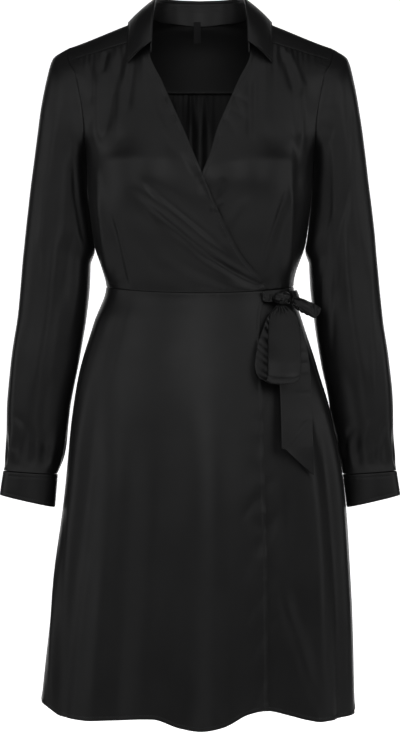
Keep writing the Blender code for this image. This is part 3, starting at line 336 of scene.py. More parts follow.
# %% Large folds
Fold = namedtuple("Fold", "x0 z0 x1 z1 bow width height")
BUST = [(-74, -236), (74, -236)]
BUST_WIDTH, BUST_DROP, BUST_HEIGHT, BUST_CALM_SIDE, BUST_CALM_WAIST = 50, 58, 13, 40, 60
FRONT_FOLDS = rows_of(Fold, [
    (-139, -70, -140, -196, 0, 8.0, 2.2), (-119, -56, -113, -190, 2, 8.0, 1.6),
    (-104, -46, -124, -184, -3, 7.0, -2.8), (-87, -50, -99, -150, -2, 6.0, -2.0),
    (-71, -76, -38, -182, -2, 7.0, -1.8), (108, -44, 135, -126, 0, 6.5, -2.4), (136, -90, 135, -200, 0, 8.0, 2.2),
    (68, -80, 67, -194, 0, 5.0, -1.6), (92, -56, 88, -184, -2, 9.0, 1.6), (131, -156, 132, -266, 0, 7.0, -1.8),
    (-90, -228, 42, -338, 4, 7.0, -2.6), (-92, -232, 86, -378, -6, 8.0, 2.4), (-98, -244, 104, -396, -12, 7.5, -3.6),
    (-52, -174, 14, -264, -1, 8.0, -2.0), (-132, -228, -119, -388, -2, 7.0, 2.4),
    (-119, -276, -95, -390, 2, 6.0, -2.0), (84, -366, 116, -248, 0, 6.0, -2.6), (122, -240, 123, -376, 0, 7.0, 2.4),
    (29, -316, 66, -256, 2, 7.0, -2.4),
])
BACK_FOLDS = rows_of(Fold, [
    (-13, -90, -20, -300, 2, 7.0, 1.6), (13, -90, 18, -310, -2, 7.0, 1.2), (0, -96, 0, -300, 0, 7.5, -2.2),
    (-52, -388, -72, -250, -5, 9.0, 3.2), (-84, -384, -110, -270, -5, 8.0, -2.6), (56, -388, 70, -240, 5, 9.0, 3.0),
    (90, -384, 106, -280, 4, 8.0, -2.8), (-26, -388, -34, -300, -3, 7.0, -2.2), (24, -388, 30, -310, 2, 7.0, 2.0),
])
SKIRT_FRONT_FOLDS = rows_of(Fold, [  # here x is the distance from the centre line along the hem
    (4, -470, 6, -1100, 0, 38, 11), (-62, -540, -64, -1100, 0, 26, -5), (-118, -480, -128, -1100, 0, 32, 4.5),
    (-205, -440, -240, -1100, 0, 28, 4), (-176, -480, -190, -1100, 0, 20, -3), (62, -580, 66, -1100, 0, 22, -4.5),
    (104, -560, 106, -1100, 0, 20, -4.5), (150, -600, 128, -1100, 0, 18, -3), (150, -420, 166, -1100, 0, 26, 7),
    (238, -430, 246, -1100, 0, 28, 5), (206, -500, 214, -1100, 0, 20, -4),
])
SKIRT_BACK_FOLDS = rows_of(Fold, [
    (-30, -470, -34, -1100, 0, 34, 9), (24, -560, 28, -1100, 0, 26, -6), (84, -480, 92, -1100, 0, 32, 8),
    (-98, -540, -104, -1100, 0, 28, -6), (-160, -480, -176, -1100, 0, 32, 7), (150, -560, 160, -1100, 0, 26, -5),
    (220, -480, 232, -1100, 0, 28, 5), (-238, -560, -246, -1100, 0, 24, -4),
])
HEM_QUARTER, FOLD_FADE, SEAM_CALM, SKIRT_SEAM_CALM = 312, 0.28, 14, 30
print("large folds:", len(FRONT_FOLDS + BACK_FOLDS + SKIRT_FRONT_FOLDS + SKIRT_BACK_FOLDS))

# %% Small folds
SMALL_FRONT_FOLDS = rows_of(Fold, [
    (-127, -46, -136, -92, 0, 4.5, -2.2), (-96, -48, -104, -112, 0, 5.0, 1.2), (-79, -50, -75, -112, 0, 4.5, 1.0),
    (-152, -66, -146, -136, 0, 5.0, -1.2), (-113, -272, -89, -394, -1, 2.8, 1.7),
    (-128, -382, -106, -358, 0, 4.0, 1.0), (18, -266, 32, -236, 0, 5.0, -1.5), (12, -280, 32, -266, 0, 4.0, -1.4),
    (92, -362, 122, -250, 0, 3.6, 1.3), (75, -80, 74, -192, 0, 4.0, 1.2), (119, -46, 145, -116, 0, 5.0, 1.3),
    (40, -106, 60, -156, 0, 4.0, -1.0), (30, -146, 54, -184, 0, 4.5, -0.9), (-34, -340, 84, -398, -6, 5.0, 1.3),
    (-70, -326, 40, -398, -4, 7.0, -1.0), (-98, -292, -38, -378, -2, 9.0, 0.9), (66, -388, 98, -370, 0, 4.0, -1.4),
    (-60, -150, -24, -214, 2, 6.0, 0.9), (-150, -166, -134, -236, 2, 6.0, -1.0),
    (152, -166, 138, -240, -2, 6.0, -1.0), (-20, -222, 60, -218, 0, 9.0, 0.8), (-152, -214, -6, -210, 0, 12.0, 2.3),
    (16, -212, 152, -214, 0, 12.0, 2.3), (-158, -178, -10, -184, 3, 14.0, -0.8), (14, -186, 156, -176, 3, 14.0, -0.7),
    (-122, -66, -131, -196, 0, 7.0, -1.6), (-64, -80, -28, -192, 0, 8.0, -1.4), (136, -86, 136, -206, 0, 6.0, 1.4),
    (44, -118, 68, -132, 0, 3.5, -1.2), (40, -138, 64, -156, 0, 3.5, -1.2), (-138, -186, -118, -386, -2, 5.0, 1.6),
    (120, -196, 120, -386, 0, 4.5, 1.4), (90, -372, 117, -236, 0, 4.0, -1.2), (-78, -238, 36, -332, 1, 4.2, -1.3),
    (-92, -248, 14, -342, -3, 4.2, -1.6), (-18, -328, 106, -394, 0, 4.2, -1.8),
])
SMALL_BACK_FOLDS = rows_of(Fold, [
    (-40, -96, -44, -170, 1, 5.0, 1.2), (42, -96, 47, -180, -1, 5.0, 1.2), (-66, -98, -74, -150, 1, 5.0, -1.0),
    (70, -98, 76, -160, -1, 5.0, -1.0), (-120, -150, -92, -250, 4, 8.0, -1.4), (118, -150, 94, -240, -4, 8.0, -1.4),
    (-10, -300, -52, -384, -3, 5.0, -1.6), (8, -310, 50, -386, 3, 5.0, -1.6), (-110, -300, -70, -378, 2, 6.0, 1.5),
    (112, -300, 74, -378, -2, 6.0, 1.5),
])
SMALL_SKIRT_FRONT_FOLDS = rows_of(Fold, [
    (104, -518, 52, -660, -3, 7, -0.8), (102, -630, 38, -702, -3, 6, -0.8), (102, -676, 36, -784, -3, 7, -1.0),
    (102, -756, 42, -840, -2, 6, -0.8), (102, -806, 40, -906, -3, 7, -0.9), (104, -858, 46, -966, -2, 7, -0.9),
    (98, -706, 50, -802, -3, 6, 0.5), (-268, -690, -206, -990, 4, 9, 2.2), (-240, -640, -196, -960, 3, 9, -1.6),
    (92, -760, 192, -990, -6, 12, -3.4), (-226, -392, -244, -560, 3, 12, 1.2), (-150, -396, -160, -520, 2, 9, -0.8),
    (-92, -760, -96, -1100, 0, 11, 1.4), (-148, -700, -156, -1100, 0, 12, -1.6), (-28, -740, -36, -1100, 0, 10, -1.8),
    (30, -700, 36, -1100, 0, 10, 1.4), (196, -430, 190, -620, -3, 9, -1.0), (268, -420, 262, -640, 2, 10, -1.2),
    (190, -700, 192, -1100, 0, 10, 1.6), (262, -640, 276, -1100, 0, 11, -1.6),
])
SMALL_SKIRT_BACK_FOLDS = rows_of(Fold, [
    (-210, -392, -230, -560, 3, 12, 1.3), (-140, -394, -150, -540, 2, 9, -1.1), (-70, -394, -74, -500, 2, 9, 1.0),
    (0, -394, -6, -520, 2, 10, -1.0), (60, -394, 56, -520, 2, 9, 1.0), (130, -394, 138, -560, 2, 9, -1.1),
    (200, -394, 214, -560, 2, 10, 1.2), (-130, -700, -134, -1100, 0, 11, 1.6), (-64, -660, -68, -1100, 0, 11, -1.7),
    (56, -700, 60, -1100, 0, 10, -1.6), (124, -740, 128, -1100, 0, 10, 1.6), (190, -640, 196, -1100, 0, 11, -1.6),
    (-208, -640, -214, -1100, 0, 11, -1.4), (-270, -560, -280, -1100, 0, 12, 1.6),
    (266, -620, 276, -1100, 0, 12, 1.4),
])
print("small folds:", len(SMALL_FRONT_FOLDS + SMALL_BACK_FOLDS + SMALL_SKIRT_FRONT_FOLDS + SMALL_SKIRT_BACK_FOLDS))


# %% The height of a fold
def fold_height(x, z, fold):
    run = math.hypot(fold.x1 - fold.x0, fold.z1 - fold.z0)
    ahead_x, ahead_z = (fold.x1 - fold.x0) / run, (fold.z1 - fold.z0) / run
    along = ((x - fold.x0) * ahead_x + (z - fold.z0) * ahead_z) / run
    aside = (z - fold.z0) * ahead_x - (x - fold.x0) * ahead_z - 4 * fold.bow * along * (1 - along)
    ends = smoothstep(along / FOLD_FADE) * smoothstep((1 - along) / FOLD_FADE)
    return fold.height * bell(aside / fold.width) * ends


def folds_height(x, z, folds):
    return sum(fold_height(x, z, fold) for fold in folds)


def bust_height(x, z):
    return BUST_HEIGHT * sum(
        np.exp(-(((x - bx) / BUST_WIDTH) ** 2) - ((z - bz) / BUST_DROP) ** 2) for bx, bz in BUST
    )


def ripples(place, pitch, seed):
    """Uneven waves along a length: no two are as wide or as high as each other."""
    slow, quick = np.sin(place / (2.3 * pitch) + seed), np.sin(place / (0.8 * pitch) + 2.1 * seed)
    shift = 0.32 * pitch * slow + 0.2 * pitch * quick
    high = 0.62 + 0.38 * np.sin(place / (1.7 * pitch) + 1.3 * seed)
    return high * np.cos(2 * np.pi * (place + shift) / pitch)


Wave = namedtuple("Wave", "height pitch reach")


def waves(wave, place, gap, seed):
    """Uneven waves along a line, which die away from it."""
    return wave.height * ripples(place, wave.pitch, seed) * bell(gap / wave.reach)


def rumple(x, z, seed=0.0):
    """The slow unevenness that any soft cloth has, in mm."""
    slow = np.sin(x / 23 + z / 41 + seed) * np.sin(z / 31 - x / 57 + 1.7 + seed)
    mid = np.sin(x / 11 - z / 19 + 2 * seed) * np.sin(z / 14 + x / 29 + 0.6)
    return 0.42 * slow + 0.12 * mid


print("a ripple 9 mm wide is", round(float(np.abs(ripples(np.arange(0, 200), 9, 1)).max()), 2), "of its height at most")

# %% [markdown]
# ## The relief of bodice and skirt
#
# Heights over the figure are added up: the bust, the large folds, the small ones and the unevenness. All of them die
# away towards a seam, because two layers of cloth are sewn flat there.

# %% Bodice relief
YOKE_GATHER_PITCH, YOKE_GATHER_HEIGHT, YOKE_GATHER_RUN = 9.5, 0.55, 26
BODICE_WAIST, SKIRT_WAIST, WAIST_SEED = Wave(0.18, 12, 13), Wave(0.12, 12, 15), 0.8


YokeGathers = namedtuple("YokeGathers", "inner outer seed")
FRONT_GATHERS, BACK_GATHERS = YokeGathers(74, 172, 0.4), YokeGathers(-20, 62, 1.9)


def gathers_under_yoke(x, below, inner, outer, seed):
    """Small gathers where the cloth is let in under the yoke, between two distances from the centre line."""
    across = smoothstep((np.abs(x) - inner) / 12) * smoothstep((outer - np.abs(x)) / 14)
    run = YOKE_GATHER_RUN * (1 + 0.35 * np.sin(x / 13 + seed))
    down = smoothstep(below / 2.5) * np.exp(-((np.maximum(below, 0) / run) ** 1.3))
    return YOKE_GATHER_HEIGHT * ripples(x, YOKE_GATHER_PITCH, seed) * across * down


def bodice_relief(w, v):
    p = body(w, v)
    x, z = p[..., 0], p[..., 2]
    front = folds_height(x, z, FRONT_FOLDS) + folds_height(x, z, SMALL_FRONT_FOLDS) + rumple(x, z)
    back = folds_height(x, z, BACK_FOLDS) + folds_height(x, z, SMALL_BACK_FOLDS) + rumple(x, z, 2.0)
    yoke = np.minimum(np.abs(v - AT["front yoke seam"]), np.abs(v - AT["back yoke seam"]))
    waist = np.minimum(np.abs(v - AT["front waist"]), np.abs(v - AT["back waist"]))
    side = (1 - np.abs(w)) * BODY["edge_x"](v)
    calm = smoothstep(yoke / SEAM_CALM) * smoothstep(waist / SEAM_CALM) * smoothstep(side / SEAM_CALM)
    bust = bust_height(x, z) * smoothstep(side / BUST_CALM_SIDE) * smoothstep(waist / BUST_CALM_WAIST)
    front_gathers = gathers_under_yoke(x, AT["front yoke seam"] - v, *FRONT_GATHERS)
    back_gathers = gathers_under_yoke(x, v - AT["back yoke seam"], *BACK_GATHERS)
    at_waist = waves(BODICE_WAIST, x, waist, WAIST_SEED) * smoothstep(waist / 2)
    gathers = (np.where(is_front(v), front_gathers, back_gathers) + at_waist) * smoothstep(side / 6)
    return np.where(is_front(v), front * calm + bust, back * calm) + gathers


print("the bust stands", BUST_HEIGHT, "mm over the figure")

# %% Skirt relief, and how far the hem drops
HemPoint = namedtuple("HemPoint", "round z")
FRONT_HEM = rows_of(HemPoint, [
    (-312, -947), (-243, -947.4), (-214, -953.4), (-194, -960.4), (-143, -962.4), (-103, -959.4), (-50, -956.4),
    (-20, -966.8), (2, -971), (22, -967), (54, -950), (75, -946), (111, -954), (136, -961), (162, -965.6),
    (232, -964.6), (312, -961.6),
])
BACK_HEM = rows_of(HemPoint, [(-312, -947), (-160, -960), (0, -956), (90, -961), (312, -961.6)])
SKIRT_RUMPLE, SKIRT_SLOWER, SKIRT_SHARE = 1.3, 0.6, 0.55
front_hem_at, back_hem_at = [columns_of(hem, "round")["z"] for hem in (FRONT_HEM, BACK_HEM)]


def skirt_relief(w, v, small=True):
    p = body(w, v)
    across, z = w * HEM_QUARTER, p[..., 2]
    front, back = folds_height(across, z, SKIRT_FRONT_FOLDS), folds_height(across, z, SKIRT_BACK_FOLDS)
    side = (1 - np.abs(w)) * HEM_QUARTER
    if not small:
        return np.where(is_front(v), front, back) * smoothstep(side / SKIRT_SEAM_CALM)
    waist = np.minimum(np.abs(v - AT["front waist"]), np.abs(v - AT["back waist"]))
    calm = smoothstep(waist / SEAM_CALM)
    uneven = [SKIRT_RUMPLE * rumple(across * SKIRT_SLOWER, z * SKIRT_SLOWER, seed) for seed in (0.0, 3.0)]
    front = front + (folds_height(across, z, SMALL_SKIRT_FRONT_FOLDS) + uneven[0]) * calm
    back = back + (folds_height(across, z, SMALL_SKIRT_BACK_FOLDS) + uneven[1]) * calm
    at_waist = waves(SKIRT_WAIST, across * SKIRT_SHARE, waist, WAIST_SEED) * smoothstep(waist / 2)
    height = np.where(is_front(v), front, back) * smoothstep(side / SKIRT_SEAM_CALM)
    return height + at_waist * smoothstep(side / 6)


def hem_drop(w, v):
    z = body(w, v)[..., 2]
    hem = np.where(is_front(v), front_hem_at(w * HEM_QUARTER), back_hem_at(w * HEM_QUARTER))
    down = np.clip((z - WAIST_Z) / (HEM_Z - WAIST_Z), 0, 1)
    return (hem - HEM_Z) * down**2


print("the hem hangs between", max(p.z for p in FRONT_HEM), "and", min(p.z for p in FRONT_HEM))

# %% The overlap of the two fronts
WRAP_LIFT, DRAPE_LIFT, HEM_LIFT, UNDER_SINK = 2.6, 2.6, 4.0, 0.6
WRAP_START_Z, WRAP_START_OVER = -115, 75
DRAPE_START_Z, DRAPE_START_OVER = -235, 50
DRAPE_END_Z, DRAPE_END_OVER = -388, 40
HEM_LIFT_START_Z, HEM_LIFT_OVER = -400, 400
SIDE_REST, UNDER_MARGIN, UNDER_DEEPER, UNDER_DEEPER_OVER = 0.28, 12, 2.6, 45


def wrap_lift(w, v):
    """The right front lies outside the left one wherever the two overlap, and joins the side seam at rest."""
    z = body(w, v)[..., 2]
    drape = smoothstep((DRAPE_START_Z - z) / DRAPE_START_OVER) * smoothstep((z - DRAPE_END_Z) / DRAPE_END_OVER)
    hem = smoothstep((HEM_LIFT_START_Z - z) / HEM_LIFT_OVER)
    lift = WRAP_LIFT + DRAPE_LIFT * drape + HEM_LIFT * hem
    return lift * smoothstep((w + 1) / SIDE_REST) * smoothstep((WRAP_START_Z - z) / WRAP_START_OVER)


def under_sink(w, v):
    """The left front lies flat under the other one, where it has no folds of its own."""
    p = body(w, v)
    beyond = wrap_edge_at(p[..., 2]) - p[..., 0]
    covered = smoothstep((beyond / UNDER_MARGIN + 1) / 2)
    own = bodice_relief(w, v) - bust_height(p[..., 0], p[..., 2])
    deeper = UNDER_DEEPER * smoothstep(beyond / UNDER_DEEPER_OVER)
    return -covered * (np.where(is_front(v), own, 0) + UNDER_SINK + deeper)


print("the right front lies", WRAP_LIFT, "to", WRAP_LIFT + HEM_LIFT, "mm outside the left one")

# %% [markdown]
# ## From a grid of points to a thin shell
#
# Cloth has two faces and a thin edge. Blender's Solidify modifier could add the thickness, but a grid makes it easy to
# write down: the same points once moved outwards and once inwards, with a narrow strip round the rim. Points lie
# closer together near an edge, where the sewing is, and each point keeps its place on the cloth as its UV, in metres,
# so a weave can follow the thread.

# %% The shell
SATIN_THICKNESS, DOUBLE_THICKNESS = 0.8, 1.5
SHARP_TURN = math.radians(65)  # cloth that turns more than this from one face to the next has a crisp edge
EDGE_STEPS = np.array([0, 0.5, 1.1, 1.9, 2.8, 3.8, 5.0, 6.4, 8.2, 10.8])


def graded(length, count):
    """Places along a length: close together near both ends, and count even steps between."""
    middle = np.linspace(EDGE_STEPS[-1], length - EDGE_STEPS[-1], count + 1)[1:-1]
    return np.concatenate([EDGE_STEPS, middle, (length - EDGE_STEPS)[::-1]])


def grid_normals(points, closed=False):
    if closed:
        wide = np.concatenate([points[:, -1:], points, points[:, :1]], axis=1)
        across = (wide[:, 2:] - wide[:, :-2]) / 2
    else:
        across = np.gradient(points, axis=1)
    return unit(np.cross(across, np.gradient(points, axis=0)))


def grid_faces(rows, columns, closed=False):
    i, j = np.meshgrid(np.arange(rows - 1), np.arange(columns if closed else columns - 1), indexing="ij")
    k = (j + 1) % columns
    return np.stack([i * columns + j, i * columns + k, (i + 1) * columns + k, (i + 1) * columns + j], -1).reshape(-1, 4)


def rim_faces(rows, columns, closed):
    """The narrow strip between the two faces of the cloth, along each free edge."""
    count = rows * columns
    if closed:
        loops = [np.arange(columns), np.arange(columns)[::-1] + (rows - 1) * columns]
    else:
        bottom, top = np.arange(columns), np.arange(columns) + (rows - 1) * columns
        right, left = np.arange(rows) * columns + columns - 1, np.arange(rows) * columns
        loops = [np.concatenate([bottom[:-1], right[:-1], top[::-1][:-1], left[::-1][:-1]])]
    pairs = [(np.roll(loop, -1), loop) for loop in loops]
    return np.concatenate([np.stack([after, loop, loop + count, after + count], axis=-1) for after, loop in pairs])


def new_mesh_object(name, verts, faces, material, uv):
    mesh = bpy.data.meshes.new(name)
    mesh.from_pydata((verts * METRE).tolist(), [], faces.tolist())
    corners = np.zeros(len(mesh.loops), dtype=np.int32)
    mesh.loops.foreach_get("vertex_index", corners)
    layer = mesh.uv_layers.new(name="cloth")
    layer.data.foreach_set("uv", (uv[corners] * METRE).astype(np.float32).ravel())
    mesh.shade_smooth()
    mesh.set_sharp_from_angle(angle=SHARP_TURN)
    mesh.materials.append(material)
    return linked(name, mesh)


def surface_sizes(points, closed=False):
    """Width, length and area of a grid of points, measured on the cloth."""
    round_ = np.concatenate([points, points[:, :1]], axis=1) if closed else points
    wide = np.linalg.norm(np.diff(round_, axis=1), axis=-1).sum(axis=1).max()
    long = np.linalg.norm(np.diff(points, axis=0), axis=-1).sum(axis=0).max()
    a, b = np.diff(round_, axis=1)[:-1], np.diff(round_, axis=0)[:, :-1]
    return wide, long, np.linalg.norm(np.cross(a, b), axis=-1).sum()


def declare(made, node, held="hung", sizes=None):
    """Hangs a piece under the root body and hides the solid it stands for. held, its finish, and sizes, the size its
    cloth was cut to, are not used.
    """
    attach(made, "root")
    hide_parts(node)
    return made


def shell(name, points, material, thickness=SATIN_THICKNESS, closed=False, flip=False):
    """A thin wall through a grid of points. flip is for a mirrored grid, whose rows run the other way round.

    It gives the object, the points of its outer face, and their outward directions.
    """
    side = -1 if flip else 1
    normals = grid_normals(points, closed) * side
    verts = np.concatenate([(points + normals * thickness / 2).reshape(-1, 3),
                            (points - normals * thickness / 2).reshape(-1, 3)])
    outer = grid_faces(*points.shape[:2], closed)
    inner = outer[:, ::-1] + points.shape[0] * points.shape[1]
    faces = np.concatenate([outer, inner, rim_faces(*points.shape[:2], closed)])
    if flip:
        faces = faces[:, ::-1]
    across = np.linalg.norm(np.diff(points, axis=1, prepend=points[:, :1]), axis=-1).cumsum(axis=1)
    along = np.linalg.norm(np.diff(points, axis=0, prepend=points[:1]), axis=-1).cumsum(axis=0)
    uv = np.stack([across, along], axis=-1).reshape(-1, 2)
    made = new_mesh_object(name, verts, faces, material, np.tile(uv, (2, 1)))
    return made, points + normals * thickness / 2, normals


print("satin is", SATIN_THICKNESS, "mm thick here, and two layers", DOUBLE_THICKNESS)

# %% [markdown]
# ## Satin, thread, buttons and the label
#
# Satin is woven so that long threads float on its face. Up close that gives fine streaks along the thread and a soft,
# broad gleam. Cloth this black returns almost no light of its own, so the base colour is close to black and the
# roughness decides how wide the gleam spreads. The weave is a very small bump that follows the UV, and large slow
# noise varies the roughness a little, as handling does.


# %% Materials
SATIN_COLOUR, SATIN_ROUGHNESS, SATIN_SPECULAR, SATIN_SHEEN = (0.0085, 0.0085, 0.0088), 0.42, 0.40, 0.03
SHEEN_ROUGHNESS, ROUGHNESS_SPREAD, TINTS = 0.35, 0.045, (0.8, 1.25)


def coordinates(tree, kind):
    """The place on a piece: Object, in metres, or UV, which follows the thread."""
    return tree.nodes.new("ShaderNodeTexCoord").outputs[kind]


def new_material(name, colour, roughness, specular, sheen):
    made = bpy.data.materials.new(name)
    made.use_nodes = True
    shader = made.node_tree.nodes["Principled BSDF"]
    for socket, value in (("Base Color", (*colour, 1)), ("Roughness", roughness), ("Specular IOR Level", specular),
                          ("Sheen Weight", sheen), ("Sheen Roughness", SHEEN_ROUGHNESS)):
        shader.inputs[socket].default_value = value
    return made, made.node_tree, shader


def noise(tree, source, scale, detail=2.0, stretch=(1, 1, 1)):
    mapping = tree.nodes.new("ShaderNodeMapping")
    mapping.inputs["Scale"].default_value = stretch
    texture = tree.nodes.new("ShaderNodeTexNoise")
    texture.inputs["Scale"].default_value = scale
    texture.inputs["Detail"].default_value = detail
    tree.links.new(source, mapping.inputs["Vector"])
    tree.links.new(mapping.outputs["Vector"], texture.inputs["Vector"])
    return texture.outputs["Fac"]


def spread(tree, value, low, high):
    """A noise value turned into a range."""
    ramp = tree.nodes.new("ShaderNodeMapRange")
    ramp.inputs["From Min"].default_value, ramp.inputs["From Max"].default_value = 0.3, 0.7
    ramp.inputs["To Min"].default_value, ramp.inputs["To Max"].default_value = low, high
    tree.links.new(value, ramp.inputs["Value"])
    return ramp.outputs["Result"]


def add_bump(tree, shader, height, strength, distance, before=None):
    bump = tree.nodes.new("ShaderNodeBump")
    bump.inputs["Strength"].default_value = strength
    bump.inputs["Distance"].default_value = distance
    tree.links.new(height, bump.inputs["Height"])
    if before is not None:
        tree.links.new(before, bump.inputs["Normal"])
    tree.links.new(bump.outputs["Normal"], shader.inputs["Normal"])
    return bump.outputs["Normal"]


def make_satin():
    made, tree, shader = new_material("black_satin", SATIN_COLOUR, SATIN_ROUGHNESS, SATIN_SPECULAR, SATIN_SHEEN)
    place = coordinates(tree, "Object")
    rough = spread(tree, noise(tree, place, 14), SATIN_ROUGHNESS - ROUGHNESS_SPREAD, SATIN_ROUGHNESS + ROUGHNESS_SPREAD)
    tree.links.new(rough, shader.inputs["Roughness"])
    tint = tree.nodes.new("ShaderNodeMixRGB")
    for socket, share in zip(("Color1", "Color2"), TINTS):
        tint.inputs[socket].default_value = (*[c * share for c in SATIN_COLOUR], 1)
    tree.links.new(noise(tree, place, 60), tint.inputs["Fac"])
    tree.links.new(tint.outputs["Color"], shader.inputs["Base Color"])
    soft = add_bump(tree, shader, noise(tree, place, 55, 3), 0.10, 0.0015)
    floats = noise(tree, coordinates(tree, "UV"), 1, 2, (5200, 900, 1))
    add_bump(tree, shader, floats, 0.12, 0.00012, soft)
    return made


def make_plain(name, colour, roughness, specular, sheen, scale, detail, strength, distance):
    """A material of one colour with a fine bump."""
    made, tree, shader = new_material(name, colour, roughness, specular, sheen)
    add_bump(tree, shader, noise(tree, coordinates(tree, "Object"), scale, detail), strength, distance)
    return made


satin = make_satin()
thread = make_plain("black_thread", (0.012, 0.012, 0.013), 0.5, 0.5, 0.1, 2600, 1, 0.3, 0.0002)
button_black = make_plain("button_black", (0.008, 0.008, 0.008), 0.2, 0.5, 0.0, 300, 2, 0.05, 0.0003)
label_cloth, label_tree, label_shader = new_material("label_cloth", (0.02, 0.02, 0.021), 0.7, 0.3, 0.1)
label_rib = label_tree.nodes.new("ShaderNodeTexWave")
label_rib.inputs["Scale"].default_value = 900
label_tree.links.new(coordinates(label_tree, "UV"), label_rib.inputs["Vector"])
add_bump(label_tree, label_shader, label_rib.outputs["Fac"], 0.4, 0.0002)
print("materials:", [m.name for m in (satin, thread, button_black, label_cloth)])

# %% [markdown]
# ## Sewing on a panel
#
# A seam draws the cloth in, so each panel dips at its edge and turns inwards as a narrow allowance. A finished edge is
# folded and stitched 5 mm in: the band stands a little proud, the stitching pulls a groove, and the cloth puckers
# along it.

# %% Edges of a panel
STITCH_IN = 5.0  # from a finished edge to its stitching
SEAM_DIP, ALLOWANCE, FLAP_CLEAR = 0.3, (1.0, 3.2), 0.03
HOOK_OVER, HOOK_DEEPER = 0.9, 1.2
SEAM_PUCKER, STITCH_PUCKER, STITCH_BUCKLE = Wave(0.3, 9, 7), Wave(0.42, 8.5, 6), Wave(0.6, 37, 15)
BAND_HEIGHT, BAND_SLOPE, RIM_ROUNDING, GROOVE_DEPTH, GROOVE_WIDTH = 0.45, 1.2, 0.25, 0.40, 0.9
Edge = namedtuple("Edge", "kind seed")
SEAM, STITCHED, PLAIN = "seam", "stitched", "plain"


def near(points, line):
    """For each point of a grid: how far the nearest point of a line is, and how far along the line that is."""
    fine = np.linspace(0, len(line) - 1, 4 * len(line))
    line = np.stack([np.interp(fine, np.arange(len(line)), c) for c in line.T], axis=-1)
    along = lengths(line)
    gaps = np.stack([np.linalg.norm(row[:, None] - line[None], axis=-1) for row in points])
    return gaps.min(axis=-1), along[gaps.argmin(axis=-1)]


def edge_height(points, line, edge):
    """How an edge shapes the cloth beside it."""
    gap, place = near(points, line)
    if edge.kind == SEAM:
        return waves(SEAM_PUCKER, place, gap, edge.seed) * smoothstep(gap / 1.5) - SEAM_DIP * bell(gap / 1.3), gap
    if edge.kind == STITCHED:
        band = BAND_HEIGHT * smoothstep((STITCH_IN + BAND_SLOPE - gap) / BAND_SLOPE) - RIM_ROUNDING * bell(gap / 0.9)
        groove = -GROOVE_DEPTH * bell((gap - STITCH_IN) / GROOVE_WIDTH)
        pucker = waves(STITCH_PUCKER, place, gap - 4, edge.seed)
        return band + groove + pucker + waves(STITCH_BUCKLE, place, gap, edge.seed + 1), gap
    return np.zeros_like(gap), gap


def with_allowance(points, inward, gaps, hooked=()):
    """Turns the cloth inwards beyond each edge that is sewn to another panel, close against that panel's own flap.

    gaps gives how far each of those edges lies from the line of its seam. A hooked flap ends over the other one, so
    that no light comes through the seam.
    """
    for side, gap in gaps.items():
        axis = 0 if side in ("start", "end") else 1
        first = side in ("start", "low")
        edge = np.take(points, [0 if first else -1], axis=axis)
        across = unit(edge - np.take(points, [1 if first else -2], axis=axis))
        over = across * (gap - SATIN_THICKNESS / 2 - FLAP_CLEAR)
        ahead = np.take(inward, [0 if first else -1], axis=axis)
        strips = [edge + over + ahead * reach for reach in ALLOWANCE]
        if side in hooked:
            strips.append(edge + across * (gap + HOOK_OVER) + ahead * (ALLOWANCE[-1] + HOOK_DEEPER))
        more = [ahead] * len(strips)
        points = np.concatenate(strips[::-1] + [points] if first else [points] + strips, axis=axis)
        inward = np.concatenate(more + [inward] if first else [inward] + more, axis=axis)
    return points


def panel_grid(start, end, low, high, step, gap):
    """The (w, v) of a panel from one seam to another, with its points close together along every edge."""
    v = AT[start] + gap[0] + graded(AT[end] - AT[start] - gap[0] - gap[1], round((AT[end] - AT[start]) / step))
    lows, highs = low(v), high(v)
    share = np.linspace(0, 1, 200)
    w = lows[:, None] * (1 - share) + highs[:, None] * share
    rows = [lengths(row) for row in body(w, np.broadcast_to(v[:, None], w.shape))]
    count = round(max(row[-1] for row in rows) / step)
    grid = np.stack([np.interp(graded(length[-1], count), length, row) for length, row in zip(rows, w)])
    return grid, np.broadcast_to(v[:, None], grid.shape)


def finish_edges(w, v, place, edges):
    """The points of a panel, shaped by its edges. place makes points from (w, v) and a height."""
    points = place(w, v, 0)
    lines = {"start": points[0], "end": points[-1], "low": points[:, 0], "high": points[:, -1]}
    height, gaps = 0, {}
    for side, edge in edges.items():
        more, gaps[side] = edge_height(points, lines[side], edge)
        height = height + more
    return place(w, v, height), gaps


Panel = namedtuple("Panel", "object outer normals gaps sizes")


def make_panel(name, grid, place, edges, node, waist, hooked=()):
    """waist names the side that is sewn at the waist."""
    w, v = grid
    points, gaps = finish_edges(w, v, place, edges)
    sewn = {side: TO_WAIST if side == waist else TO_SEAM for side, edge in edges.items() if edge.kind == SEAM}
    whole = with_allowance(points, -outward(w, v), sewn, hooked)
    made, _, _ = shell(name, whole, satin)
    normals = grid_normals(points)
    sizes = surface_sizes(points)
    declare(made, node, sizes=surface_sizes(whole))
    return Panel(made, points + normals * SATIN_THICKNESS / 2, normals, gaps, sizes)


# %% [markdown]
# ## The bodice
#
# Three panels: a right front that wraps over, a left front under it, and a back. They meet at side seams and hang
# from the yoke. The wrap edges are the only finished ones.

# %% Bodice panels
BODICE_STEP, SKIRT_STEP = 3.0, 4.2
TO_WAIST, TO_SEAM = 0.75, SEAM_HALF


def bodice_place(lift):
    def place(w, v, height):
        return body(w, v) + outward(w, v) * (bodice_relief(w, v) + lift(w, v) + height)[..., None]

    return place


def no_lift(w, v):
    return np.zeros_like(w)


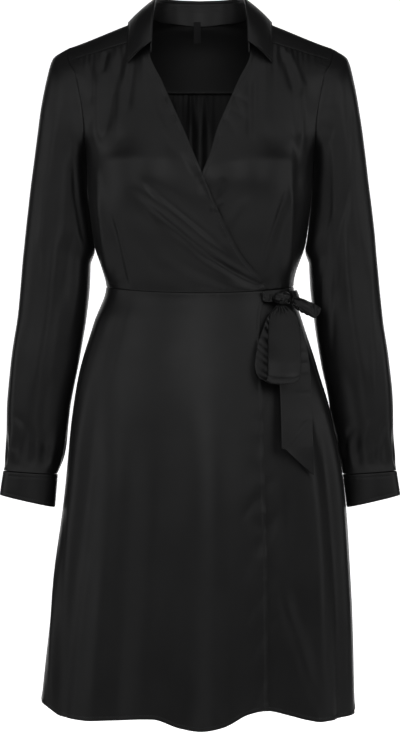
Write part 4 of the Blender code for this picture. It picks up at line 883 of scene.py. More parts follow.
front_gaps = (TO_WAIST, TO_SEAM)
front_right = make_panel(
    "bodice_front_right_cloth",
    panel_grid("front waist", "front yoke seam", right_side, wrap_side, BODICE_STEP, front_gaps),
    bodice_place(wrap_lift),
    {"start": Edge(SEAM, 0.3), "end": Edge(SEAM, 1.1), "low": Edge(SEAM, 2.2), "high": Edge(STITCHED, 0.7)},
    "bodice_front_right", "start")
front_left = make_panel(
    "bodice_front_left_cloth",
    panel_grid("front waist", "front yoke seam", mirror_wrap_side, left_side, BODICE_STEP, front_gaps),
    bodice_place(under_sink),
    {"start": Edge(SEAM, 0.9), "end": Edge(SEAM, 1.6), "high": Edge(SEAM, 2.7), "low": Edge(STITCHED, 3.1)},
    "bodice_front_left", "start")
back = make_panel(
    "bodice_back_cloth",
    panel_grid("back yoke seam", "back waist", right_side, left_side, BODICE_STEP, (TO_SEAM, TO_WAIST)),
    bodice_place(no_lift),
    {"start": Edge(SEAM, 0.5), "end": Edge(SEAM, 1.9), "low": Edge(SEAM, 2.2), "high": Edge(SEAM, 2.7)},
    "bodice_back", "end", hooked=["start"])

# %% [markdown]
# ## The skirt
#
# The skirt is cut in three panels too, slightly flared. The right front overlaps the left one by about 150 mm, and
# the hem is turned up and stitched.


# %% Skirt panels
def skirt_place(lift):
    def place(w, v, height):
        p = body(w, v) + outward(w, v) * (skirt_relief(w, v) + lift(w, v) + height)[..., None]
        p[..., 2] += hem_drop(w, v)
        return p

    return place


skirt_right = make_panel(
    "skirt_front_right_cloth",
    panel_grid("front hem", "front waist", right_side, wrap_side, SKIRT_STEP, (0, TO_WAIST)),
    skirt_place(wrap_lift),
    {"start": Edge(STITCHED, 0.2), "end": Edge(SEAM, 0.3), "low": Edge(SEAM, 2.4), "high": Edge(STITCHED, 1.4)},
    "skirt_front_right", "end")
skirt_left = make_panel(
    "skirt_front_left_cloth",
    panel_grid("front hem", "front waist", underlap_side, left_side, SKIRT_STEP, (0, TO_WAIST)),
    skirt_place(no_lift),
    {"start": Edge(STITCHED, 2.6), "end": Edge(SEAM, 0.9), "low": Edge(PLAIN, 0), "high": Edge(SEAM, 3.3)},
    "skirt_front_left", "end")
skirt_back = make_panel(
    "skirt_back_cloth",
    panel_grid("back waist", "back hem", right_side, left_side, SKIRT_STEP, (TO_WAIST, 0)),
    skirt_place(no_lift),
    {"start": Edge(SEAM, 1.9), "end": Edge(STITCHED, 1.2), "low": Edge(SEAM, 2.4), "high": Edge(SEAM, 3.3)},
    "skirt_back", "start", hooked=["low", "high"])

# %% [markdown]
# ## The yoke
#
# The yoke is one piece that lies over both shoulders and behind the neck. It is smooth: it carries the dress. Its
# grid runs from the neckline to the armhole, and the two halves are joined behind the neck, so here the halves are
# merged first and Solidify gives the thickness.


# %% Yoke
def along_edge(v, w, shares):
    """The (w, v) of points at shares of the length of an edge that is given at many places."""
    length = lengths(body(w, v))
    return np.interp(shares * length[-1], length, w), np.interp(shares * length[-1], length, v)


def place_where(low, high, w_of, value_of, target):
    v = np.linspace(low, high, 400)
    return float(np.interp(target, value_of(body(w_of(v), v)), v))


def neck_w_of(v):
    return cut(v, neck_edge, 0.0, 1.0)


NECK_BACK = place_where(AT["back neck"] - 30, AT["upper back"], np.zeros_like, lambda p: p[:, 1], NECK_BACK_Y)
NECK_START = place_where(AT["upper chest"], AT["front yoke seam"], neck_w_of, lambda p: p[:, 2], COLLAR_END_Z)


def neckline(start, shares):
    """The (w, v) of the left half of the neckline, from a place on the front to the middle of the back."""
    v = np.linspace(start, NECK_BACK, 600)
    v = start + (v - start) * (2 - (v - start) / (v[-1] - start))
    return along_edge(v, neck_w_of(v), shares)


NECK_PART = 0.765  # the share of the rows that start on the neckline
YOKE_HALF_WIDE, YOKE_LONG = 186, 260
YOKE_ROWS, YOKE_ROUND, YOKE_COLUMNS, YOKE_ACROSS = 56, 200, 34, 115
start, end = AT["front yoke seam"] + SEAM_HALF, AT["back yoke seam"] - SEAM_HALF
turn = graded(YOKE_ROUND, YOKE_ROWS) / YOKE_ROUND
neck_w, neck_v = neckline(start, np.clip(turn / NECK_PART, 0, 1))
inner_v = np.where(turn < NECK_PART, neck_v, NECK_BACK + (end - NECK_BACK) * (turn - NECK_PART) / (1 - NECK_PART))
inner_w = np.where(turn < NECK_PART, neck_w, 0)
edge_v = np.linspace(start, end, 300)
outer_w, outer_v = along_edge(edge_v, left_side(edge_v), turn)
share = graded(YOKE_ACROSS, YOKE_COLUMNS)[3:] / YOKE_ACROSS
share = (share - share[0]) / (1 - share[0])
w = inner_w[:, None] * (1 - share) + outer_w[:, None] * share
v = inner_v[:, None] * (1 - share) + outer_v[:, None] * share
points = body(w, v)
height = 0.35 * rumple(points[..., 0], points[..., 1] + points[..., 2], 1.0)
height = height * smoothstep((1 - share) * YOKE_ACROSS / 12)
for line, seed in ((points[0], 1.1), (points[-1], 0.5), (points[:, -1], 2.0)):
    height = height + edge_height(points, line, Edge(SEAM, seed))[0]
out = outward(w, v)
half = with_allowance(points + out * height[..., None], -out, dict.fromkeys(("start", "end", "high"), TO_SEAM))
half_uv = np.stack([half[..., 0], np.linalg.norm(np.diff(half, axis=0, prepend=half[:1]), axis=-1).cumsum(axis=0)], -1)
bm = bmesh.new()
layer = bm.loops.layers.uv.new("cloth")
for side in (1, -1):
    made = [bm.verts.new(p) for p in (half * (side, 1, 1) * METRE).reshape(-1, 3).tolist()]
    flat_uv = (half_uv * (side, 1) * METRE).reshape(-1, 2).tolist()
    for face in grid_faces(*half.shape[:2]).tolist():
        corners = face[::side]
        new_face = bm.faces.new([made[i] for i in corners])
        new_face.smooth = True
        for loop, i in zip(new_face.loops, corners):
            loop[layer].uv = flat_uv[i]
bmesh.ops.remove_doubles(bm, verts=bm.verts, dist=0.02 * METRE)
mesh = bpy.data.meshes.new("yoke_cloth")
bm.to_mesh(mesh)
bm.free()
mesh.materials.append(satin)
rough = linked("yoke_rough", mesh)
solidify = rough.modifiers.new("thickness", "SOLIDIFY")
solidify.thickness, solidify.offset, solidify.use_quality_normals = SATIN_THICKNESS * METRE, 0, True


def baked(source, name):
    """A plain mesh object from another one with its modifiers applied. The source is removed."""
    graph = bpy.context.evaluated_depsgraph_get()
    made = linked(name, bpy.data.meshes.new_from_object(source.evaluated_get(graph)))
    bpy.data.objects.remove(source)
    return made


yoke = baked(rough, "yoke_satin")
yoke.data.set_sharp_from_angle(angle=SHARP_TURN)
area = 2 * surface_sizes(half)[2]
declare(yoke, "yoke", held="laid", sizes=(2 * YOKE_HALF_WIDE, YOKE_LONG, area))

# %% [markdown]
# ## The collar
#
# A shirt collar has two parts: a stand that goes up round the neck, and a leaf that folds over it. Both are double
# cloth with a stiffening between, so they are smooth. The line where the collar rolls over and the leaf's outer edge
# come from a table, from the front end to the middle of the back.

# %% Collar table and lines
Collar = namedtuple("Collar", "name share roll_x roll_y roll_z edge edge_x edge_lift")
COLLAR = [
    Collar("front end", 0.00, 67.0, -56, -46, -84, 99, 2.8),
    Collar("front", 0.16, 66.0, -44, -18, -48, 100, 2.6),
    Collar("before the shoulder", 0.32, 64.0, -20, 8, -14, 99, 3.0),
    Collar("shoulder", 0.50, 61.5, 12, 23.5, 22, 97, 4.5),
    Collar("behind the shoulder", 0.68, 54.0, 44, 28, 62, 88, 7.0),
    Collar("back", 0.84, 34.0, 67, 30, 88, 58, 9.0),
    Collar("middle of the back", 1.00, 0.0, 75, 30, 96, 0, 10.0),
]
ROLL, STAND_INSIDE, STAND_ABOVE, STAND_HEAD, LEAF_START, LEAF_BULGE = 3.4, 1.7, 0.6, 0.975, 0.33, 2.5
COLLAR_ROUND, COLLAR_ROWS, STAND_DEEP, STAND_ROWS, SKIPPED = 215, 66, 34, 8, 12


def collar_profiles(shares):
    neck_w, neck_v = neckline(NECK_START, shares)
    foot = body(neck_w, neck_v)
    level = foot * (1, 1, 0) - (0, NECK_SIDE_Y, 0)
    inward = -unit(np.stack([level[:, 0], np.maximum(level[:, 1], 0), level[:, 2]], axis=-1))
    foot = foot + inward * STAND_INSIDE + np.array([0, 0, STAND_ABOVE])
    at = {name: curve(shares) for name, curve in columns_of(COLLAR, "share").items()}
    roll = np.stack([at["roll_x"], at["roll_y"], at["roll_z"]], axis=-1)
    edge_v = AT["shoulder ridge"] + at["edge"]
    edge_w = np.array([cut(v, lambda y, z: x, 0.0, 1.0) for v, x in zip(edge_v, at["edge_x"])])
    edge_w[-1] = 0
    edge = body(edge_w, edge_v) + outward(edge_w, edge_v) * at["edge_lift"][:, None]
    return foot, roll, edge


def whole_width(points):
    """Both halves from the left one, which ends on the centre line: the right-hand end comes first."""
    left = points.copy()
    left[-1, :, 0] = 0
    return np.concatenate([left * (-1, 1, 1), left[-2::-1]])


def resample(rows, places):
    """A smooth curve through rows of points, read at fractional row numbers."""
    rows = np.asarray(rows, float)
    slope = np.gradient(rows, axis=0)
    i = np.clip(np.floor(places).astype(int), 0, len(rows) - 2)
    s = (places - i).reshape(-1, *[1] * (rows.ndim - 1))
    return (rows[i] * (1 + 2 * s) * (1 - s) ** 2 + slope[i] * s * (1 - s) ** 2
            + rows[i + 1] * s**2 * (3 - 2 * s) - slope[i + 1] * s**2 * (1 - s))


# %% Collar stand and leaf
def stitched_edges(points, lines, seed):
    """Stitching 5 mm in from the given edges of a double piece: a groove and slight puckers."""
    height = 0
    for k, line in enumerate(lines):
        gap, place = near(points, line)
        height = height - 0.35 * bell((gap - STITCH_IN) / GROOVE_WIDTH)
        height = height - 0.35 * bell(gap / 0.8)
        height = height + 0.12 * ripples(place, 7, seed + k) * bell((gap - STITCH_IN) / 4)
    return height


even = graded(COLLAR_ROUND, COLLAR_ROWS)[: len(EDGE_STEPS) + COLLAR_ROWS - 1] / COLLAR_ROUND
shares = np.append(even, 1.0)
foot, roll, edge = collar_profiles(shares)
t = unit(np.gradient(roll, axis=0))
fall = unit(edge - roll)
out = unit(np.cross(fall, t))
out[-1, 0] = 0
stand_rows = graded(STAND_DEEP, STAND_ROWS) / STAND_DEEP * STAND_HEAD
stand = whole_width(np.swapaxes(foot + (roll - foot) * stand_rows[:, None, None], 0, 1))
stand_normals = grid_normals(stand)
top_line = stand[:, -1]
stand_height = -stitched_edges(stand, [top_line], 0.6)
second_row = near(stand, top_line)[0]
stand_height = stand_height + 0.3 * bell((second_row - 2 * STITCH_IN) / 0.9)
stand = stand + stand_normals * stand_height[..., None]
collar_stand, _, _ = shell("collar_stand_satin", stand, satin, DOUBLE_THICKNESS)
declare(collar_stand, "collar_stand", held="stretched", sizes=surface_sizes(stand))

controls = [roll, roll + out * ROLL / 2 - fall * ROLL / 2, roll + out * ROLL]
for part in (LEAF_START, (1 + LEAF_START) / 2, 1.0):
    bulge = out * LEAF_BULGE * math.sin(math.pi * part)
    controls.append((roll + out * ROLL) * (1 - part) + edge * part + bulge)
leaf_rows = np.concatenate([np.linspace(0, 3, 13)[:-1], np.linspace(3, 4.7, 14)[:-1], np.linspace(4.7, 5, 12)])
leaf = whole_width(np.swapaxes(resample(controls, leaf_rows), 0, 1))
leaf_normals = grid_normals(leaf)
leaf_height = stitched_edges(leaf, [leaf[:, -1], leaf[0, SKIPPED:], leaf[-1, SKIPPED:]], 1.3)
leaf_height = leaf_height + 0.25 * rumple(leaf[..., 0], leaf[..., 1] + leaf[..., 2], 4.0)
leaf = leaf + leaf_normals * leaf_height[..., None]
collar_leaf, leaf_outer, leaf_out = shell("collar_leaf_satin", leaf, satin, DOUBLE_THICKNESS)
declare(collar_leaf, "collar_leaf", held="laid", sizes=surface_sizes(leaf))

# %% [markdown]
# ## The label
#
# A blank woven loop hangs from the neck seam inside the back. It is folded ribbon, left plain.

# %% Label
LABEL_TOP, LABEL_BOTTOM, LABEL_RIGHT_X, LABEL_LEFT_X = (67.5, 3), (73, -27), -9, 1
LABEL_ROWS, LABEL_COLUMNS, LABEL_THICKNESS, LABEL_BEND, LABEL_CURL = 40, 14, 0.7, 0.5, 0.25
row_share = np.linspace(0, 1, LABEL_ROWS)
y = LABEL_TOP[0] + (LABEL_BOTTOM[0] - LABEL_TOP[0]) * row_share + LABEL_BEND * np.sin(3 * row_share)
z = LABEL_TOP[1] + (LABEL_BOTTOM[1] - LABEL_TOP[1]) * row_share
x = np.linspace(LABEL_RIGHT_X, LABEL_LEFT_X, LABEL_COLUMNS)
label_points = np.stack(np.broadcast_arrays(x[None, :], y[:, None], z[:, None]), axis=-1).copy()
label_points[..., 1] += LABEL_CURL * np.cos((x[None, :] + 4) / 3.2)
label, _, _ = shell("neck_label_ribbon", label_points, label_cloth, LABEL_THICKNESS)
declare(label, "neck_label", held="hung", sizes=surface_sizes(label_points))

# %% [markdown]
# ## Sleeves and cuffs
#
# Each sleeve is a tube of tilted oval rings that starts on the armhole seam and is gathered into its cuff. The cuff
# laps over itself at the outer back of the wrist and closes with one button.

# %% Rings and creases
Ring = namedtuple("Ring", "name out_x out_z in_x in_z mid_y depth blend")
SLEEVE = [
    Ring("armhole", 187.5, -45, 158.8, -232, 1, 58, 0.0),
    Ring("cap", 206.5, -60, 161.5, -240, 0, 58, 0.35),
    Ring("upper cap", 214, -90, 160, -251, -1, 57, 0.75),
    Ring("biceps", 223, -143, 152, -270, -2, 55, 1.0),
    Ring("upper arm", 232, -214, 151.5, -300, -4, 52, 1.0),
    Ring("above the elbow", 240.5, -284, 152.5, -334, -6, 50, 1.0),
    Ring("elbow", 247, -352, 154, -374, -9, 48, 1.0),
    Ring("below the elbow", 253.5, -422, 159.5, -426, -12, 47, 1.0),
    Ring("forearm", 262.5, -484, 169, -484, -16, 46, 1.0),
    Ring("lower forearm", 267.5, -548, 180, -540, -20, 45, 1.0),
    Ring("fullest above the cuff", 268, -598, 186, -592, -23, 42, 1.0),
    Ring("gathers", 269.5, -622, 192, -622, -25, 37, 1.0),
    Ring("cuff seam", 271.5, -633, 198.5, -638, -26, 29, 1.0),
]
CUFF = [
    Ring("cuff top", 271.9, -634.8, 198, -639.8, -26, 29.5, 1.0),
    Ring("cuff bottom", 276.5, -667, 201.5, -684, -29, 28.5, 1.0),
]
Crease = namedtuple("Crease", "angle0 down0 angle1 down1 width height")
# the angles are in degrees from the outside towards the front, and down is the share of the way down the sleeve
SLEEVE_CREASES = rows_of(Crease, [
    (70, 0.03, 60, 0.42, 11, 1.5), (120, 0.05, 104, 0.60, 12, -1.8), (150, 0.12, 128, 0.66, 11, 1.5),
    (88, 0.30, 84, 0.80, 10, 1.3), (28, 0.55, 48, 0.98, 12, 1.5), (110, 0.70, 100, 1.00, 11, -1.7),
    (250, 0.05, 262, 0.55, 13, -1.7), (215, 0.06, 232, 0.70, 13, 1.6), (300, 0.35, 290, 0.98, 12, 1.5),
    (262, 0.60, 258, 1.00, 11, -1.6),
])
SMALL_CREASES = rows_of(Crease, [  # on the back of both sleeves
    (230, 0.30, 250, 0.60, 8, -1.0), (285, 0.10, 278, 0.50, 9, 1.0), (320, 0.50, 312, 0.98, 8, -1.0),
    (240, 0.70, 236, 0.98, 8, 1.2), (262, 0.84, 300, 0.97, 9, -1.3),
])
OWN_CREASES = {
    -1: rows_of(Crease, [
        (54, 0.22, 70, 0.50, 7, 0.9), (112, 0.05, 138, 0.36, 7, -1.4), (104, 0.46, 112, 0.86, 9, 0.8),
        (40, 0.82, 130, 0.96, 9, -1.8), (56, 0.84, 140, 0.98, 9, 1.0), (25, 0.92, 85, 0.99, 12, -1.2),
        (84, 0.004, 74, 0.07, 4, -0.7), (120, 0.004, 108, 0.08, 4, -0.8),
    ]),
    1: rows_of(Crease, [
        (99, 0.06, 101, 0.34, 4, 1.3), (98, 0.22, 146, 0.60, 6, 1.2), (36, 0.05, 88, 0.34, 7, -1.2),
        (76, 0.20, 134, 0.70, 6, -1.6), (34, 0.40, 70, 0.82, 9, 1.0), (116, 0.87, 162, 0.98, 8, -1.6),
        (36, 0.83, 94, 0.98, 9, -1.7), (70, 0.84, 120, 0.97, 9, 0.9), (72, 0.004, 58, 0.06, 4, -0.8),
        (88, 0.004, 70, 0.07, 4, -0.9), (106, 0.004, 88, 0.08, 4, -0.8),
    ]),
}
CREASE_START, CREASE_END = 0.25, 0.2
GATHERS, UNEVEN_GATHERS, GATHER_HEIGHT, GATHER_AT, GATHER_OVER, GATHER_END = 11, 7, 1.4, 0.86, 0.08, 0.05
ARMPIT_Z, ARMPIT_OVER, SHOULDER_ROWS, CLEAR_FROM, SLEEVE_CLEAR = -120, 50, 0.92, 0.06, 0.95
REST_END, REST_OVER = -348, 30  # down to here the sleeve rests against the bodice
FLATTER, FLATTER_DEPTH = 0.62, 0.94  # the front and back of a sleeve are flatter than an oval's
CUFF_LAP, CUFF_LAP_AT, CUFF_LAP_LIFT, CUFF_LAP_OVER = 24, 305, 2.5, 60
front_side = columns_of(SECTIONS[: [s.name for s in SECTIONS].index("shoulder ridge") + 1], "edge_z")
side_x_at, side_sway_at = front_side["edge_x"], front_side["sway"]
print("creases on a sleeve:", [len(SLEEVE_CREASES + SMALL_CREASES + own) for own in OWN_CREASES.values()])


# %% Shape of a sleeve
def beside(z, side, clear=SLEEVE_CLEAR):
    return side_x_at(z) + side * side_sway_at(z) + clear


def at_least(value, least, softness=0.3):
    over = value - least
    return least + (over + np.sqrt(over**2 + softness**2)) / 2


def ring_at(rings, down):
    middle = np.array([(r.out_x + r.in_x, r.out_z + r.in_z) for r in rings]) / 2
    knots = lengths(middle) / lengths(middle)[-1]
    return {c: through(knots, [getattr(r, c) for r in rings])(down) for c in Ring._fields[1:]}


def armhole(angle, side):
    """The armhole seam by angle: 0 on top of the shoulder, 90 at the front, 180 under the arm, 270 at the back."""
    loop, away, out = [], [], []
    for start, end in (("shoulder ridge", "bust"), ("back armpit", "shoulder ridge")):
        v = np.linspace(AT[start], AT[end], 100)
        w, even_v = along_edge(v, np.full_like(v, 1.0), np.linspace(0, 1, 91))
        loop.append(body(w * side, even_v))
        out.append(outward(w * side, even_v))
        away.append(np.cross(out[-1], unit(np.gradient(loop[-1], axis=0))) * side)
    joined = [np.concatenate([pair[0], pair[1][1:]]) for pair in (loop, away, out)]
    steps = np.linspace(0, 360, len(joined[0]))
    seam, away, out = [np.stack([np.interp(angle % 360, steps, c) for c in p.T], axis=-1) for p in joined]
    return seam, unit(away), unit(out)


def crease_height(angle, down, creases):
    total = 0
    for c in creases:
        share = (down - c.down0) / (c.down1 - c.down0)
        middle = c.angle0 + (c.angle1 - c.angle0) * share
        ends = smoothstep(share / CREASE_START) * smoothstep((1 - share) / CREASE_END)
        total = total + c.height * bell((angle - middle) / c.width) * ends
    return total


def cuff_gathers(angle, down):
    turn = np.radians(angle)
    waves = np.cos(turn * GATHERS) + 0.5 * np.cos(turn * UNEVEN_GATHERS + 1)
    return GATHER_HEIGHT * waves * smoothstep((down - GATHER_AT) / GATHER_OVER) * smoothstep((1 - down) / GATHER_END)


def ring_points(angle, at, side):
    turn = np.radians(angle)
    close = smoothstep((at["in_z"] - REST_END) / REST_OVER)
    in_x = at["in_x"] + (np.minimum(at["in_x"], beside(at["in_z"], side)) - at["in_x"]) * close
    in_x = at_least(in_x, beside(at["in_z"], side))
    mid_x, mid_z = (at["out_x"] + in_x) / 2, (at["out_z"] + at["in_z"]) / 2
    half_x, half_z = (at["out_x"] - in_x) / 2, (at["out_z"] - at["in_z"]) / 2
    flat = np.sign(np.sin(turn)) * np.abs(np.sin(turn)) ** FLATTER
    y = at["mid_y"] - FLATTER_DEPTH * at["depth"] * flat
    return np.stack([(mid_x + half_x * np.cos(turn)) * side, y, mid_z + half_z * np.cos(turn)], axis=-1)


UNDER_SEAM = 196  # degrees: the sleeve's own seam runs down its inner side, towards the back
SLEEVE_LONG, SLEEVE_ROWS, SLEEVE_COLUMNS = 640, 160, 116
SLEEVE_SEAM, ARMHOLE_PUCKER, GROOVE = Wave(0.15, 11, 9), Wave(0.35, 10, 9), 0.5


def sleeve_points(side):
    """The sleeve's grid. It starts on the armhole, and the seam below the arm is a fine groove."""
    steps = graded(SLEEVE_LONG, SLEEVE_ROWS) / SLEEVE_LONG
    down = steps**SHOULDER_ROWS
    down[:10] = np.linspace(0, down[10], 11)[:10]
    fine = np.array([0, 0.5, 1.1, 1.9, 3.0])
    angle = np.concatenate([UNDER_SEAM + fine, np.linspace(UNDER_SEAM + 5.5, UNDER_SEAM + 354.5, SLEEVE_COLUMNS),
                            UNDER_SEAM + 360 - fine[:0:-1]])
    down_grid, angle_grid = np.meshgrid(down, angle % 360, indexing="ij")
    at = ring_at(SLEEVE, down_grid)
    points = ring_points(angle_grid, at, side)
    seam, away, out = armhole(angle, side)
    start = seam + unit(away + unit(points[12] - seam)) * SEAM_HALF
    below_arm = smoothstep((ARMPIT_Z - seam[:, 2]) / ARMPIT_OVER)
    start[:, 0] += (side * beside(seam[:, 2], 0, 1.0) - start[:, 0]) * below_arm
    points = points + (start - points[0]) * (1 - at["blend"])[..., None]
    normals = grid_normals(points, closed=True) * side
    creases = SLEEVE_CREASES + SMALL_CREASES + OWN_CREASES[side]
    height = crease_height(angle_grid, down_grid, creases) + cuff_gathers(angle_grid, down_grid)
    height = height + 0.8 * rumple(angle_grid * 0.85, points[..., 2], 5.0 + side) * smoothstep(down_grid / 0.05)
    gap, off_seam = down_grid * SLEEVE_LONG, np.abs(angle_grid - UNDER_SEAM)
    ends = smoothstep(gap / 8) * smoothstep((1 - down_grid) * SLEEVE_LONG / 4)
    groove = waves(SLEEVE_SEAM, gap, off_seam, side) - GROOVE * bell(off_seam / 0.9)
    at_seam = waves(ARMHOLE_PUCKER, angle_grid * 1.4, gap, 1.7 + side) * smoothstep(gap / 2)
    points = points + normals * (height * ends + groove + at_seam)[..., None]
    clear = side * at_least(side * points[..., 0], beside(points[..., 2], side))
    points[..., 0] += (clear - points[..., 0]) * smoothstep(down_grid / CLEAR_FROM)
    dip = -SEAM_DIP * bell(gap / 1.4)
    points = points + normals * dip[..., None]
    return np.concatenate([(points[0] - out * reach)[None] for reach in ALLOWANCE[::-1]] + [points])


def cuff_points(side, down, turn):
    down_grid, turn_grid = np.meshgrid(down, turn, indexing="ij")
    points = ring_points(turn_grid + CUFF_LAP_AT - CUFF_LAP, ring_at(CUFF, down_grid), side)
    middle = points.mean(axis=1, keepdims=True)
    lift = CUFF_LAP_LIFT * smoothstep((turn_grid - 360) / CUFF_LAP_OVER + 1)
    points = points + unit((points - middle) * (1, 1, 0)) * lift[..., None]
    points[..., 0] = side * at_least(side * points[..., 0], beside(points[..., 2], side) + 0.6)
    return points


# %% Sleeves and cuffs
CUFF_ROUND, CUFF_DEEP, CUFF_COLUMNS, CUFF_ROWS = 240, 42, 96, 8
cuffs = {}
for name, side in (("left", 1), ("right", -1)):
    sleeve = sleeve_points(side)
    made, _, _ = shell(f"sleeve_{name}_satin", sleeve, satin, closed=True, flip=side < 0)
    declare(made, "sleeve_" + name, sizes=surface_sizes(sleeve, closed=True))
    down = graded(CUFF_DEEP, CUFF_ROWS) / CUFF_DEEP
    turn = graded(CUFF_ROUND, CUFF_COLUMNS) / CUFF_ROUND * (360 + CUFF_LAP)
    cuff = cuff_points(side, down, turn)
    cuff_normals = grid_normals(cuff) * side
    cuff_height = stitched_edges(cuff, [cuff[0], cuff[-1], cuff[:, -1]], 2.0 + side)
    cuff_height = cuff_height + 0.3 * rumple(turn[None, :] * 0.7, cuff[..., 2], side)
    cuff = cuff + cuff_normals * cuff_height[..., None]
    made, cuff_outer, cuff_out = shell(f"cuff_{name}_satin", cuff, satin, DOUBLE_THICKNESS, flip=side < 0)
    declare(made, "cuff_" + name, held="stretched", sizes=surface_sizes(cuff))
    cuffs[name] = (cuff_outer, cuff_out)

# %% [markdown]
# ## Buttons
#
# Each cuff closes with a small black button: a disc with a raised rim and four holes. It is
# turned from a profile, the holes are cut with a Boolean, and it is placed flat on the lap of the cuff.

# %% Cuff buttons
BUTTON_RADIUS, BUTTON_IN, BUTTON_CLEAR, BUTTON_FACE, BUTTON_RIM = 5.5, 12, 0.8, 1.7, 2.2
RIM_WIDTH, RIM_SLOPE, BACK_EDGE, HOLE_RADIUS, HOLE_OUT = 1.4, 0.6, 0.5, 0.65, 1.25
BUTTON_SIDES, HOLE_SIDES, BUTTON_SHARP, LAP_OUT = 40, 12, math.radians(40), 0.9


def pole_faces(rings, sides):
    """The faces of a closed solid made of rings of points, with one more point at its top and one at its bottom."""
    top, last = rings * sides, (rings - 1) * sides
    faces = grid_faces(rings, sides, True)[:, ::-1].tolist()
    faces += [(top, i, (i + 1) % sides) for i in range(sides)]
    return faces + [(top + 1, last + (i + 1) % sides, last + i) for i in range(sides)]


def turned(name, profile, sides, material):
    """A closed solid from a profile of (radius, height), turned about Z. The profile runs from top to bottom."""
    angle = np.arange(sides) * 2 * np.pi / sides
    rings = [np.stack([r * np.cos(angle), r * np.sin(angle), np.full(sides, h)], axis=-1) for r, h in profile[1:-1]]
    verts = np.concatenate([np.concatenate(rings), [[0, 0, profile[0][1]], [0, 0, profile[-1][1]]]])
    mesh = bpy.data.meshes.new(name)
    mesh.from_pydata((verts * METRE).tolist(), [], pole_faces(len(rings), sides))
    mesh.materials.append(material)
    return linked(name, mesh)


inner = BUTTON_RADIUS - RIM_WIDTH
BUTTON_PROFILE = [
    (0, BUTTON_FACE), (inner - RIM_SLOPE, BUTTON_FACE), (inner, BUTTON_RIM - 0.1), (inner + 0.2, BUTTON_RIM),
    (BUTTON_RADIUS - RIM_SLOPE, BUTTON_RIM), (BUTTON_RADIUS - 0.15, BUTTON_RIM - 0.25),
    (BUTTON_RADIUS, BUTTON_FACE - 0.1), (BUTTON_RADIUS, BACK_EDGE), (BUTTON_RADIUS - BACK_EDGE, 0), (0, 0),
]
HOLE_PROFILE = [(0, 3), (HOLE_RADIUS, 3), (HOLE_RADIUS, -1), (0, -1)]
for name, side in (("left", 1), ("right", -1)):
    button = turned("button_rough", BUTTON_PROFILE, BUTTON_SIDES, button_black)
    drills = []
    for x, y in ((-1, -1), (-1, 1), (1, -1), (1, 1)):
        drill = turned("drill", HOLE_PROFILE, HOLE_SIDES, button_black)
        drill.data.transform(mathutils.Matrix.Translation((x * HOLE_OUT * METRE, y * HOLE_OUT * METRE, 0)))
        cutting = button.modifiers.new("hole", "BOOLEAN")
        cutting.object, cutting.operation, cutting.solver = drill, "DIFFERENCE", "EXACT"
        drills.append(drill)
    made = baked(button, f"cuff_button_{name}_turned")
    for drill in drills:
        bpy.data.objects.remove(drill)
    cloth = cuff_points(side, np.linspace(0, 1, 3), np.linspace(0, 360 + CUFF_LAP, CUFF_LAP + 361))
    spot = CUFF_LAP + 360 - BUTTON_IN
    out = unit(np.cross(cloth[1, spot + 2] - cloth[1, spot - 2], cloth[2, spot] - cloth[0, spot]))
    if (cloth[1, spot] - cloth[1].mean(axis=0)) @ out < 0:
        out = -out
    centre = cloth[1, spot] + out * (LAP_OUT + BUTTON_CLEAR)
    turn_to = mathutils.Vector(out).to_track_quat("Z", "Y").to_matrix().to_4x4()
    made.data.transform(mathutils.Matrix.Translation(centre * METRE) @ turn_to)
    made.data.shade_smooth()
    made.data.set_sharp_from_angle(angle=BUTTON_SHARP)
    declare(made, "cuff_button_" + name)
    print(made.name, len(made.data.polygons), "faces at", np.round(centre))

# %% [markdown]
# ## The bow
#
# One tie is sewn to the edge of the right front and the other comes out of the left side seam. They cross in a knot,
# with a long loop and two ends that hang down, and a short loop to the side. Each is a double strip. Strips are
# drawn together at the knot, so their creases fan out from it and die away.

# %% Tables of the bow
Band = namedtuple("Band", "x off z wide_x wide_y wide_z cup")
TIE_FRONT = rows_of(Band, [
    (85, 8.5, -394, 0, 0, 6.5, 0.0), (91, 10.0, -396, 0, 0, 6.0, 1.0), (98, 13.0, -397, 0, 0, 5.0, 1.5),
])
TIE_SIDE = rows_of(Band, [
    (137, 6, -391, -3.0, 0, 8.0, 0.0), (136, 29, -392, -2.5, 0, 8.0, 0.5), (130.5, 42, -393, -2.0, 0, 7.0, 1.0),
    (125, 33, -393, -1.0, 0, 6.0, 1.5),
])
LOOP_FRONT = rows_of(Band, [
    (110, 26, -408, 6, 0, 0, 1.0), (112, 31, -415, 14, 0, 0, 3.0), (113, 35, -432, 20, 0, 0, 3.0),
    (113.5, 38, -460, 22, 1, 0, 3.0), (113, 41, -488, 22, 2, 0, 3.0), (112.5, 40, -505, 21.5, 2, 0, 2.0),
    (109, 31, -514, 21, 2, 0, 1.0), (100.5, 21.5, -506, 22, 2, 0, 0.0), (95, 19, -486, 21, 3, 0, -0.5),
    (97, 18.5, -462, 19, 3, 0, -0.5), (101, 17.5, -440, 16, 3, 0, -0.5), (105, 16.5, -421, 12, 2, 0, -0.5),
    (108, 16, -411, 5, 1, 0, 0.0),
])
LOOP_SIDE = rows_of(Band, [
    (127, 57, -399, 1, 1, 4, 1.0), (133, 69, -402, 2.5, 1.5, 6, 2.0), (141, 80, -407, 4, 2, 7.5, 2.5),
    (150, 77, -412, 4, 2, 8, 2.5), (158, 73, -417, 4, 2, 7.5, 1.5), (161.5, 67.5, -419, 3.5, 2, 7, 1.0),
    (158, 62.5, -417.5, 4, 2, 7, 0.5), (150, 61, -413, 4, 2, 7, -0.5), (141, 62, -408.5, 3.5, 1.5, 6.5, -0.5),
    (133, 53, -405, 2.5, 1, 5, 0.0), (128, 52, -403, 1, 0.5, 3.5, 0.0),
])
